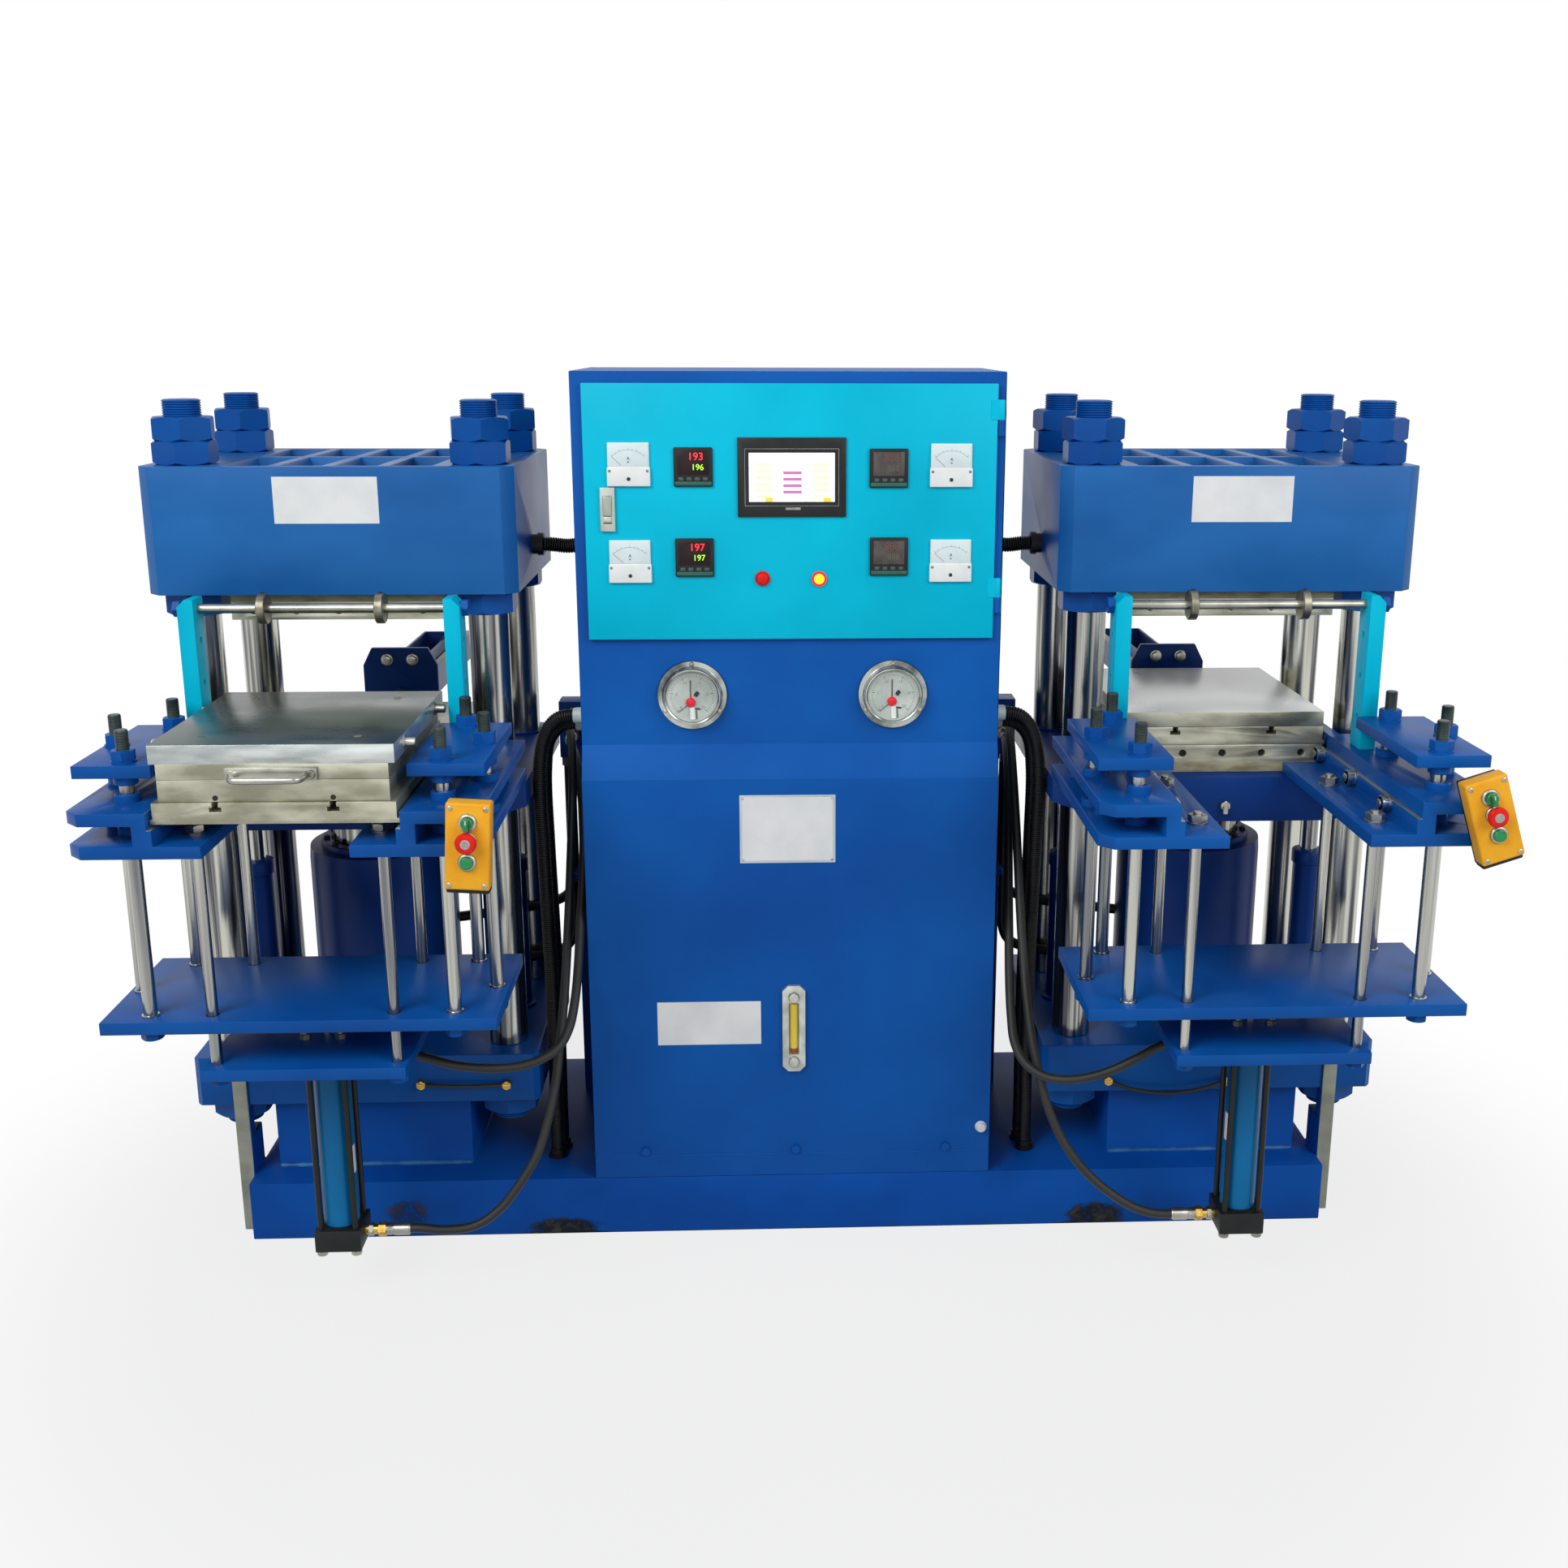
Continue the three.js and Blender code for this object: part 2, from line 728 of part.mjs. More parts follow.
// Column: a turned bar with a thread at each end, and the nuts that clamp both beams
function column(x, y) {
  const nutUnderTop = upperBeamBottom - seatGap;
  const shank = upright(columnDiameter, x, y, lowerBeamTop + seatGap,
    nutUnderTop - columnNutHeight + weldDepth);
  const footNutTop = lowerBeamBottom - seatGap;
  const footNutBottom = footNutTop - columnNutHeight;
  const topNutBottom = upperBeamTop + seatGap;
  const stubTop = topNutBottom + 2 * columnNutHeight + columnTopStub;
  const thread = upright(threadDiameter, x, y, footNutBottom - columnFootStub, stubTop);
  const nuts = [footNutBottom, nutUnderTop - columnNutHeight, topNutBottom]
    .map((z) => nut(columnNutWidth, x, y, z, z + columnNutHeight));
  nuts.push(nut(columnNutWidth, x, y, topNutBottom + columnNutHeight, topNutBottom + 2 * columnNutHeight,
    lockNutTurnShare));
  return joined([shank, thread, ...nuts]);
}

// Hot plate with its insulation; "upper" has the insulation on top and "lower" below
function hotPlate(bottom, insulationThickness, insulationOnTop) {
  const top = bottom + heaterThickness + insulationThickness;
  const heaterMiddle = insulationOnTop ? bottom + heaterThickness / 2 : top - heaterThickness / 2;
  const back = hotPlateFront + hotPlateDepth;
  const plate = block(-hotPlateHalfWidth, hotPlateHalfWidth, hotPlateFront, back, bottom, top);
  const holes = [];
  for (let i = 0; i < heaterHoles; i++) {
    const x = (i - (heaterHoles - 1) / 2) * heaterHolePitch;
    holes.push(lengthwise(heaterHoleDiameter, x, heaterMiddle, hotPlateFront - cutOverrun,
      hotPlateFront + heaterHoleDepth));
  }
  return without(plate, holes);
}

// Lower beam with the two return cylinders that stand on it
function lowerBeam() {
  const half = beamWidth / 2;
  const outline = cornerCutOutline(-half, half, beamFront, beamFront + beamDepth, beamCornerCut / 2);
  const body = extrudedAlongZ(outline, lowerBeamBottom, lowerBeamTop);
  const bores = columnPlaces().map(([x, y]) =>
    upright(threadDiameter, x, y, lowerBeamBottom - cutOverrun, lowerBeamTop + cutOverrun, columnGap));
  const top = lowerBeamTop + sideCylinderHeight;
  const tube = upright(sideCylinderDiameter, sideCylinderOffset, pressCentreY, lowerBeamTop - weldDepth, top);
  const bore = upright(sideRodDiameter, sideCylinderOffset, pressCentreY, top - sideBoreDepth,
    top + cutOverrun, slideGap);
  return joined([without(body, bores), ...bothSides(tube.subtract(bore))]);
}

function mainCylinder() {
  const bottom = lowerBeamTop + seatGap;
  const top = bottom + mainCylinderHeight;
  const body = upright(mainCylinderDiameter, 0, pressCentreY, bottom, top - glandHeight);
  const gland = upright(glandDiameter, 0, pressCentreY, top - glandHeight - weldDepth, top);
  const bore = upright(ramDiameter, 0, pressCentreY, top - ramBoreDepth, top + cutOverrun, slideGap);
  return body.add(gland).subtract(bore);
}

// Moving platen: a keeled casting on the ram, bored for the columns, with the two return rods
function movingPlaten() {
  const half = beamWidth / 2;
  const keel = [
    [-half, platenTop], [-half, platenTop - platenEdge], [-platenKeelHalfWidth, platenTop - platenKeel],
    [platenKeelHalfWidth, platenTop - platenKeel], [half, platenTop - platenEdge], [half, platenTop],
  ];
  const body = extrudedAlongY(keel, beamFront, beamFront + beamDepth);
  const bossBottom = platenTop - platenKeel - platenBossHeight;
  const boss = upright(platenBossDiameter, 0, pressCentreY, bossBottom, platenTop - platenKeel + weldDepth);
  const ramFoot = lowerBeamTop + seatGap + mainCylinderHeight - ramBoreDepth + strokeFloor;
  const ram = upright(ramDiameter, 0, pressCentreY, ramFoot, bossBottom + weldDepth);
  const rodFoot = lowerBeamTop + sideCylinderHeight - sideBoreDepth + strokeFloor;
  const rod = upright(sideRodDiameter, sideCylinderOffset, pressCentreY, rodFoot, platenTop - platenEdge);
  const bores = columnPlaces().map(([x, y]) =>
    upright(columnDiameter, x, y, platenTop - platenKeel - cutOverrun, platenTop + cutOverrun, columnGap));
  return without(joined([body, boss, ram, ...bothSides(rod)]), bores);
}

function alongRail(share) {
  return railFront + share * (railBack - railFront);
}

// Slide rail on the right-hand side; the left-hand one is its mirror image
function rail() {
  const flangeTop = railBottom + railFlangeThickness;
  const upperFlangeBottom = railTop - railFlangeThickness;
  const profile = [
    [railFlangeInner, railBottom], [railFlangeOuter, railBottom], [railFlangeOuter, flangeTop],
    [railWebOuter, flangeTop], [railWebOuter, upperFlangeBottom], [railFlangeOuter, upperFlangeBottom],
    [railFlangeOuter, railTop], [railLipInner, railTop], [railLipInner, railTop - railLipHeight],
    [railWebInner, railTop - railLipHeight], [railWebInner, flangeTop], [railFlangeInner, flangeTop],
  ];
  const tongue = block(hotPlateHalfWidth + railTongueGap, railWebOuter, railBack - weldDepth, railTongueBack,
    railBottom, railTop);
  const body = joined([extrudedAlongY(profile, railFront, railBack), tongue, ...railRibs()]);
  return joined([without(body, [railCorner(), ...railHoles()]), ...railRollers()]);
}

function railRibs() {
  return ribPlaces.map((y) => block(railWebOuter - weldDepth, railWebOuter + ribReach, y, y + ribThickness,
    railBottom + railFlangeThickness - weldDepth, railTop - railFlangeThickness + weldDepth));
}

function railHoles() {
  const bottom = railBottom - cutOverrun;
  const top = railTop + cutOverrun;
  const lift = liftRodPlaces.map(([x, y]) => upright(liftRodDiameter, x, y, bottom, top, slideGap));
  const hanger = [liftRodFront, liftRodBack].map((y) =>
    upright(hangerRodDiameter, hangerRodOffset, y, bottom, railBottom + railFlangeThickness + cutOverrun,
    slideGap));
  return [...lift, ...hanger];
}

function railCorner() {
  const x = railFlangeOuter;
  const y = railFront;
  const corner = [[x + cutOverrun, y - cutOverrun], [x + cutOverrun, y + railCornerCut + cutOverrun],
    [x - railCornerCut - cutOverrun, y - cutOverrun]];
  return extrudedAlongZ(corner, railBottom - cutOverrun, railTop + cutOverrun);
}

function railRollers() {
  const rollerHeight = lowerHeaterTop - rollerDiameter / 2;
  return rollerPlaces.map((y) =>
    crosswise(rollerDiameter, y, rollerHeight, railWebInner - rollerWidth, railWebInner + weldDepth));
}

// Crossbar: two drilled uprights on the rails carry a round bar with two collars
function crossbar() {
  const bottom = railTop + seatGap;
  const top = bottom + uprightHeight;
  const back = uprightFront + uprightDepth;
  const outer = uprightInner + uprightThickness;
  const post = block(uprightInner, outer, uprightFront, back, bottom, top);
  const topCut = extrudedAlongY([[outer - uprightTopCut, top + cutOverrun], [outer + cutOverrun, top + cutOverrun],
    [outer + cutOverrun, top - uprightTopCut], [outer, top - uprightTopCut], [outer - uprightTopCut, top]],
    uprightFront - cutOverrun, back + cutOverrun);
  const middle = (uprightFront + back) / 2;
  const holes = [];
  for (let i = 0; i < uprightHoles; i++) {
    holes.push(crosswise(uprightHoleDiameter, middle, bottom + uprightHoleFirst + i * uprightHolePitch,
      uprightInner - cutOverrun, outer + cutOverrun));
  }
  const rodHeight = top - crossRodDrop;
  const bar = crosswise(crossRodDiameter, middle, rodHeight, -outer, outer);
  const collar = crosswise(collarDiameter, middle, rodHeight, collarOffset - collarWidth / 2,
    collarOffset + collarWidth / 2);
  const capNut = crosswise(crossNutWidth, middle, rodHeight, outer - weldDepth, outer + crossNutHeight);
  return joined([bar, ...bothSides(without(post, [topCut, ...holes])), ...bothSides(collar),
    ...bothSides(capNut)]);
}

// Ejector lifting frame: lift plate, six rods, and two wings that raise the mould's upper half
function ejectorFrame() {
  const bottom = liftPlateTop - liftPlateThickness;
  const plate = block(-liftPlateHalfWidth, liftPlateHalfWidth, liftPlateFront, liftPlateFront + liftPlateDepth,
    bottom, liftPlateTop);
  const holes = [];
  for (const side of [-1, 1]) {
    for (const y of [liftRodFront, liftRodBack]) {
      holes.push(upright(hangerRodDiameter, side * hangerRodOffset, y, bottom - cutOverrun,
        liftPlateTop + cutOverrun, hangerHoleGap));
    }
  }
  const pistonRod = upright(pistonRodDiameter, 0, ejectorCentreY, bottom - pistonRodReach,
    liftPlateTop - weldDepth);
  const side = joined([wing(), ...liftRodPlaces.map(([x, y]) => liftRod(x, y))]);
  return joined([without(plate, holes), pistonRod, ...bothSides(side)]);
}

function wing() {
  return block(wingInner, liftPlateHalfWidth, wingFront, wingFront + wingDepth, wingBottom,
    wingBottom + wingThickness);
}

function liftRod(x, y) {
  const wingTop = wingBottom + wingThickness;
  const plateBottom = liftPlateTop - liftPlateThickness;
  const nutBottom = plateBottom - rodNutHeight;
  const stud = upright(liftRodDiameter, x, y, nutBottom, wingTop + studRise);
  const topNut = nut(rodNutWidth, x, y, wingTop - weldDepth, wingTop + rodNutHeight);
  const footNut = nut(rodNutWidth, x, y, nutBottom, plateBottom + weldDepth);
  return joined([stud, topNut, footNut]);
}

// Ejector hanger: the plate that carries the ejector cylinder, on four rods from the rails
function ejectorHanger() {
  const bottom = hangerTop - hangerThickness;
  const plate = block(-hangerHalfWidth, hangerHalfWidth, hangerFront, hangerFront + hangerDepth, bottom,
    hangerTop);
  const hole = upright(pistonRodDiameter, 0, ejectorCentreY, bottom - cutOverrun, hangerTop + cutOverrun,
    columnGap);
  const tieNuts = tieRodPlaces().map(([x, y]) => nut(tieNutWidth, x, y, hangerTop - weldDepth,
    hangerTop + tieNutHeight));
  const side = joined([liftRodFront, liftRodBack].map((y) => hangerRod(hangerRodOffset, y)));
  return joined([plate.subtract(hole), ...tieNuts, ...bothSides(side)]);
}

function hangerRod(x, y) {
  const plateBottom = hangerTop - hangerThickness;
  const flangeTop = railBottom + railFlangeThickness + seatGap;
  const bar = upright(hangerRodDiameter, x, y, plateBottom - hangerNutHeight, flangeTop + hangerNutHeight);
  const topNut = nut(hangerNutWidth, x, y, flangeTop, flangeTop + hangerNutHeight);
  const footNut = nut(hangerNutWidth, x, y, plateBottom - hangerNutHeight, plateBottom + weldDepth);
  return joined([bar, topNut, footNut]);
}

function tieRodPlaces() {
  const places = [];
  for (const sideX of [-1, 1]) {
    for (const sideY of [-1, 1]) {
      places.push([sideX * tieRodOffset, ejectorCentreY + sideY * tieRodOffset]);
    }
  }
  return places;
}

// Ejector cylinder: a tube between square ends held by four tie rods, with a port on each end
function ejectorCylinder(inner) {
  const half = ejectorCapWidth / 2;
  const capTop = ejectorBottom + ejectorCapHeight;
  const headBottom = ejectorHeadTop - ejectorHeadHeight;
  const cap = block(-half, half, ejectorCentreY - half, ejectorCentreY + half, ejectorBottom, capTop);
  const head = block(-half, half, ejectorCentreY - half, ejectorCentreY + half, headBottom, ejectorHeadTop);
  const tube = upright(ejectorTubeDiameter, 0, ejectorCentreY, capTop - weldDepth, headBottom + weldDepth);
  const bore = upright(pistonRodDiameter, 0, ejectorCentreY, ejectorHeadTop - pistonBoreDepth - strokeFloor,
    ejectorHeadTop + cutOverrun, slideGap);
  const tieRods = tieRodPlaces().map(([x, y]) => tieRod(x, y));
  const ports = [ejectorBottom + lowerPortHeight, ejectorHeadTop - upperPortDrop].map((z) => port(z));
  const turned = ports.map((piece) => (inner > 0 ? piece : mirrored(piece)));
  return joined([joined([cap, head, tube]).subtract(bore), ...tieRods, ...turned]);
}

function tieRod(x, y) {
  return upright(tieRodDiameter, x, y, ejectorBottom - tieNutHeight, ejectorHeadTop - weldDepth);
}

function port(z) {
  const face = ejectorCapWidth / 2;
  const neck = crosswise(portDiameter, ejectorCentreY, z, face - weldDepth, face + portReach + weldDepth);
  const crimp = crosswise(crimpDiameter, ejectorCentreY, z, face + portReach, face + crimpReach);
  return neck.add(crimp);
}

// Carriage: the T-slot plate that slides the mould in and out, with its pull rod
function carriage() {
  const back = hotPlateFront + hotPlateDepth;
  const lipTop = carriageBottom + carriageLipHeight;
  const plate = block(-carriageHalfWidth, carriageHalfWidth, hotPlateFront, back, carriageBottom, carriageTop);
  const lips = block(-carriageLipHalfWidth, carriageLipHalfWidth, hotPlateFront, back, carriageBottom, lipTop);
  const slots = [-slotOffset, slotOffset].map((x) => tSlot(x, back));
  const pullRod = lengthwise(slideRodDiameter, 0, slideAxisHeight, back - weldDepth, back + slideRodLength);
  return joined([without(joined([plate, lips]), slots), pullRod]);
}

function tSlot(x, back) {
  const neck = slotWidth / 2;
  const foot = slotFootWidth / 2;
  const floor = carriageTop - slotDepth;
  const profile = [
    [x - neck, carriageTop + cutOverrun], [x - neck, floor + slotFootHeight], [x - foot,
    floor + slotFootHeight],
    [x - foot, floor], [x + foot, floor], [x + foot, floor + slotFootHeight],
    [x + neck, floor + slotFootHeight], [x + neck, carriageTop + cutOverrun],
  ];
  return extrudedAlongY(profile, hotPlateFront - cutOverrun, back + cutOverrun);
}

function plainPlate() {
  const bottom = carriageTop + seatGap;
  return block(-carriageHalfWidth, carriageHalfWidth, hotPlateFront, hotPlateFront + hotPlateDepth,
    bottom, bottom + plainPlateThickness);
}

// Mould: a lower half bolted to the carriage, and an upper half with handle, pins and top plate
const mouldBottom = carriageTop + seatGap;
const mouldSplit = mouldBottom + mouldBaseThickness;

function mouldBase() {
  return block(-mouldHalfWidth, mouldHalfWidth, hotPlateFront + mouldInset,
    hotPlateFront + hotPlateDepth - mouldInset, mouldBottom, mouldSplit);
}

function mouldTop() {
  const bottom = mouldSplit + seatGap;
  const handlePlateTop = bottom + handlePlateThickness;
  const top = handlePlateTop + mouldTopThickness;
  const front = hotPlateFront + mouldInset;
  const back = hotPlateFront + hotPlateDepth - mouldTopSetback;
  const lower = block(-mouldHalfWidth, mouldHalfWidth, front, back, bottom, handlePlateTop + weldDepth);
  const upper = block(-mouldTopHalfWidth, mouldTopHalfWidth, front, back, handlePlateTop, top);
  const pinHeight = handlePlateTop + mouldTopThickness / 2;
  const inset = (back - front) * pinInsetShare;
  const pins = [front + inset, back - inset].flatMap((y) => bothSides(crosswise(pinDiameter, y, pinHeight,
    mouldTopHalfWidth - weldDepth, mouldTopHalfWidth + pinReach)));
  return joined([lower, upper, ...pins, handleBracket(front, bottom), bowHandle(front, bottom)]);
}

function handleBracket(front, bottom) {
  const half = handleBracketWidth / 2;
  const top = bottom + handleBracketHeight;
  const plate = block(-half, half, front - handleBracketDepth, front + weldDepth, bottom + weldDepth, top);
  const face = front - handleBracketDepth;
  const screws = [-screwOffset, screwOffset].map((x) => lengthwise(screwDiameter, x, (bottom + top) / 2,
    face - screwHeight, face + weldDepth));
  return joined([plate, ...screws]);
}

function bowHandle(front, bottom) {
  const half = handleSpan / 2;
  const z = bottom + handleBracketHeight / 2;
  const root = front - handleBracketDepth + weldDepth;
  const tip = front - handleBracketDepth - handleReach;
  const route = new THREE.CurvePath();
  const at = (x, y) => new THREE.Vector3(x, y, z);
  route.add(new THREE.LineCurve3(at(-half, root), at(-half, tip + handleBend)));
  route.add(new THREE.QuadraticBezierCurve3(at(-half, tip + handleBend), at(-half, tip),
    at(-half + handleBend, tip)));
  route.add(new THREE.LineCurve3(at(-half + handleBend, tip), at(half - handleBend, tip)));
  route.add(new THREE.QuadraticBezierCurve3(at(half - handleBend, tip), at(half, tip), at(half,
    tip + handleBend)));
  route.add(new THREE.LineCurve3(at(half, tip + handleBend), at(half, root)));
  return tubeAlong(route, handleDiameter, handleSides, handleSteps);
}

function tubeAlong(route, diameter, sides, steps) {
  const ring = outlineShape(roundOutline(diameter / 2, sides));
  return solidOf(new THREE.ExtrudeGeometry(ring, { steps, extrudePath: route, bevelEnabled: false }));
}

// Slide cylinder: a bracket on the back of the platen, a channel behind it and the cylinder in the channel
function slideCylinder() {
  const bottom = platenTop + seatGap;
  const back = slideBracketY + slideBracketThickness;
  const sill = bottom + slideBracketSill;
  const top = bottom + slideBracketRise;
  const half = slideBracketHalfWidth;
  const outline = [
    [-half, sill], [half, sill], [half, top - slideBracketShoulder], [slideBracketTopHalfWidth, top],
    [-slideBracketTopHalfWidth, top], [-half, top - slideBracketShoulder],
  ];
  const plate = extrudedAlongY(outline, slideBracketY, back);
  const foot = block(-slideFootHalfWidth, slideFootHalfWidth, slideFootFront, slideFootFront + slideFootDepth,
    bottom, sill + weldDepth);
  const bolts = [-slideBoltOffset, slideBoltOffset].map((x) => lengthwise(slideBoltDiameter, x,
    top - slideBoltDrop, slideBracketY - screwHeight, slideBracketY + weldDepth));
  const end = back + slideChannelLength;
  const tube = lengthwise(slideTubeDiameter, 0, slideAxisHeight, back - weldDepth, end - slideChannelWall);
  const bore = lengthwise(slideRodDiameter, 0, slideAxisHeight, slideFootFront - cutOverrun,
    end - 2 * slideChannelWall, slideGap);
  return joined([plate, foot, ...bolts, slideChannel(back, end), tube]).subtract(bore);
}

function slideChannel(front, end) {
  const half = slideChannelHalfWidth;
  const floor = slideAxisHeight - slideTubeDiameter / 2 - slideChannelWall + weldDepth;
  const outer = block(-half, half, front - weldDepth, end, floor, floor + slideChannelHeight);
  const hollow = block(-half + slideChannelWall, half - slideChannelWall, front - slideBracketThickness,
    end - slideChannelWall, floor + slideChannelWall, floor + slideChannelHeight + cutOverrun);
  return outer.subtract(hollow);
}

// Control station, built about its own centre with its back on the rail's end; Y points into the machine
const stationDepth = stationLidDepth + stationBackDepth;
const stationFace = railFront - seatGap - stationPlateThickness - stationDepth;

function controlStation() {
  const halfWidth = stationWidth / 2;
  const halfHeight = stationHeight / 2;
  const lidBack = stationFace + stationLidDepth;
  const backFace = lidBack + stationBackDepth;
  const lid = extrudedAlongY(cornerCutOutline(-halfWidth, halfWidth, -halfHeight, halfHeight, stationCorner),
    stationFace, lidBack);
  const inset = stationPlateInset / 2;
  const tray = block(-halfWidth + inset, halfWidth - inset, lidBack - weldDepth, backFace,
    -halfHeight + inset, halfHeight - inset);
  const plate = block(-halfWidth + stationPlateInset, halfWidth - stationPlateInset, backFace - weldDepth,
    backFace + stationPlateThickness, -halfHeight + stationPlateInset, halfHeight - stationPlateInset);
  const bezels = [selectorHeight, stopHeight, startHeight].map((z) => lengthwise(controlBezelDiameter, 0, z,
    stationFace - controlBezelDepth, stationFace + weldDepth));
  const holes = [selectorHeight, stopHeight, startHeight].map((z) => lengthwise(controlHoleDiameter, 0, z,
    stationFace - controlBezelDepth - cutOverrun, stationFace + controlHoleDepth));
  const pocket = lengthwise(startButtonDiameter, 0, startHeight, stationFace - controlBezelDepth - cutOverrun,
    stationFace, slideGap);
  return without(joined([lid, tray, plate, ...bezels]), [...holes, pocket]);
}

function stopButton() {
  const back = stationFace - controlBezelDepth - stopStandoff;
  const head = lengthwise(stopHeadDiameter, 0, stopHeight, back - stopHeadDepth, back);
  const stem = lengthwise(controlStemDiameter, 0, stopHeight, back - weldDepth, stationFace + stemReach);
  return head.add(stem);
}

function startButton() {
  const front = stationFace - controlBezelDepth - startStandoff;
  const head = lengthwise(startButtonDiameter, 0, startHeight, front, front + startStandoff + weldDepth);
  const stem = lengthwise(controlStemDiameter, 0, startHeight, front + weldDepth, stationFace + stemReach);
  return head.add(stem);
}

function selector() {
  const back = stationFace - controlBezelDepth - seatGap;
  const knob = lengthwise(selectorKnobDiameter, 0, selectorHeight, back - selectorKnobDepth, back);
  const stem = lengthwise(controlStemDiameter, 0, selectorHeight, back - weldDepth, stationFace + stemReach);
  const reach = selectorKnobDiameter / 2;
  const grip = block(-selectorGripWidth / 2, selectorGripWidth / 2,
    back - selectorKnobDepth - selectorGripDepth,
    back - selectorKnobDepth + weldDepth, selectorHeight - reach, selectorHeight + reach);
  return joined([knob, stem, grip]);
}

// Cabinet: oil tank below with a proud front, and the electrical compartment behind the door
function cabinetBody() {
  const profile = [
    [0, cabinetTop], [0, tankSlopeTop], [-tankFaceProud, tankFaceTop], [-tankFaceProud, cabinetBottom],
    [cabinetDepth, cabinetBottom], [cabinetDepth, cabinetTop],
  ];
  const body = extrudedAlongX(profile, -cabinetHalfWidth, cabinetHalfWidth);
  const inside = cabinetHalfWidth - cabinetWall;
  const cavity = block(-inside, inside, cabinetWall, cabinetDepth - cabinetWall,
    tankSlopeTop + cavityFloorRise, cabinetTop - cabinetWall);
  const doorway = block(doorLeft + doorLandWidth, doorRight - doorLandWidth, -cutOverrun,
    cabinetWall + cutOverrun, doorBottom + doorLandWidth, doorTop - doorLandWidth);
  const gaugeHoles = Object.values(gaugeShares).map((share) => lengthwise(gaugeBodyDiameter, gaugeX(share),
    gaugeHeight, -cutOverrun, cabinetWall + cutOverrun, seatGap));
  const hinges = hingeShares.map((share) => cabinetHinge(upDoor(share)));
  const shell = joined([without(body, [cavity, doorway, ...gaugeHoles]), ...hinges]);
  return joined([shell, ...bothSides(conduit())]);
}

function extrudedAlongX(points, x0, x1) {
  const geometry = new THREE.ExtrudeGeometry(outlineShape(points), { depth: x1 - x0, bevelEnabled: false });
  geometry.rotateX(Math.PI / 2);
  geometry.rotateZ(Math.PI / 2);
  geometry.translate(x0, 0, 0);
  return solidOf(geometry);
}

function cabinetHinge(z) {
  const knuckle = upright(hingeDiameter, hingeX, -hingeSetback, z - hingeLength, z);
  const pin = upright(hingePinDiameter, hingeX, -hingeSetback, z - weldDepth, z + hingeLength);
  const leaf = block(hingeX, cabinetHalfWidth - weldDepth, -hingeSetback, weldDepth, z - hingeLength, z);
  return joined([knuckle, pin, leaf]);
}

// Corrugated conduit: an elbow pipe with rings, bored from the gland end
function conduit() {
  const start = cabinetHalfWidth - weldDepth;
  const end = pressOffset - beamWidth / 2 - conduitGlandLength - seatGap;
  return tubeWithRings(conduitRoute(start, end));
}

function conduitRoute(start, end) {
  const y = conduitY;
  const z = conduitHeight;
  const middle = (start + end) / 2;
  return new THREE.CatmullRomCurve3([
    new THREE.Vector3(start, y, z), new THREE.Vector3(start + conduitStraight, y, z),
    new THREE.Vector3(middle, y, z - conduitSag),
    new THREE.Vector3(end - conduitStraight, y, z), new THREE.Vector3(end, y, z),
  ]);
}

// Closed skin: outer rings that swell and shrink along the route, an end wall, and a bore back to the start
function tubeWithRings(route) {
  const steps = conduitRibs * 2;
  const rings = [];
  for (let i = 0; i <= steps; i++) {
    const atEnd = i === 0 || i === steps;
    const radius = (atEnd || i % 2 === 0 ? conduitRootDiameter : conduitDiameter) / 2;
    rings.push(ringAt(route, i / steps, radius));
  }
  for (let i = conduitBoreRings; i >= 1; i--) {
    rings.push(ringAt(route, i / conduitBoreRings, conduitBoreDiameter / 2));
  }
  return solidOf(skinOf(rings));
}

function ringAt(route, share, radius) {
  const centre = route.getPointAt(share);
  const tangent = route.getTangentAt(share);
  const across = new THREE.Vector3(0, 1, 0);
  const up = new THREE.Vector3().crossVectors(tangent, across).normalize();
  const ring = [];
  for (let i = 0; i < conduitSides; i++) {
    const angle = (i * 2 * Math.PI) / conduitSides;
    ring.push(centre.clone().addScaledVector(across, radius * Math.cos(angle))
      .addScaledVector(up, radius * Math.sin(angle)));
  }
  return ring;
}

function skinOf(rings) {
  const sides = conduitSides;
  const corners = rings.flat();
  const first = corners.length;
  const caps = [rings[0], rings[rings.length - 1]].map((ring) => ring
    .reduce((sum, corner) => sum.add(corner), new THREE.Vector3()).divideScalar(sides));
  const index = [];
  for (let ring = 0; ring < rings.length - 1; ring++) {
    for (let side = 0; side < sides; side++) {
      const a = ring * sides + side;
      const b = ring * sides + ((side + 1) % sides);
      index.push(a, b, a + sides, b, b + sides, a + sides);
    }
  }
  const last = (rings.length - 1) * sides;
  for (let side = 0; side < sides; side++) {
    const next = (side + 1) % sides;
    index.push(first, next, side, first + 1, last + side, last + next);
  }
  const positions = [...corners, ...caps].flatMap((corner) => corner.toArray());
  const geometry = new THREE.BufferGeometry();
  geometry.setAttribute("position", new THREE.Float32BufferAttribute(positions, 3));
  geometry.setIndex(index);
  return geometry;
}

// Places on the door's sheet, from its lower left corner
function onDoor([shareX, shareZ]) {
  return [doorLeft + shareX * (doorRight - doorLeft), upDoor(shareZ)];
}

function upDoor(share) {
  return doorBottom + share * doorHeight;
}

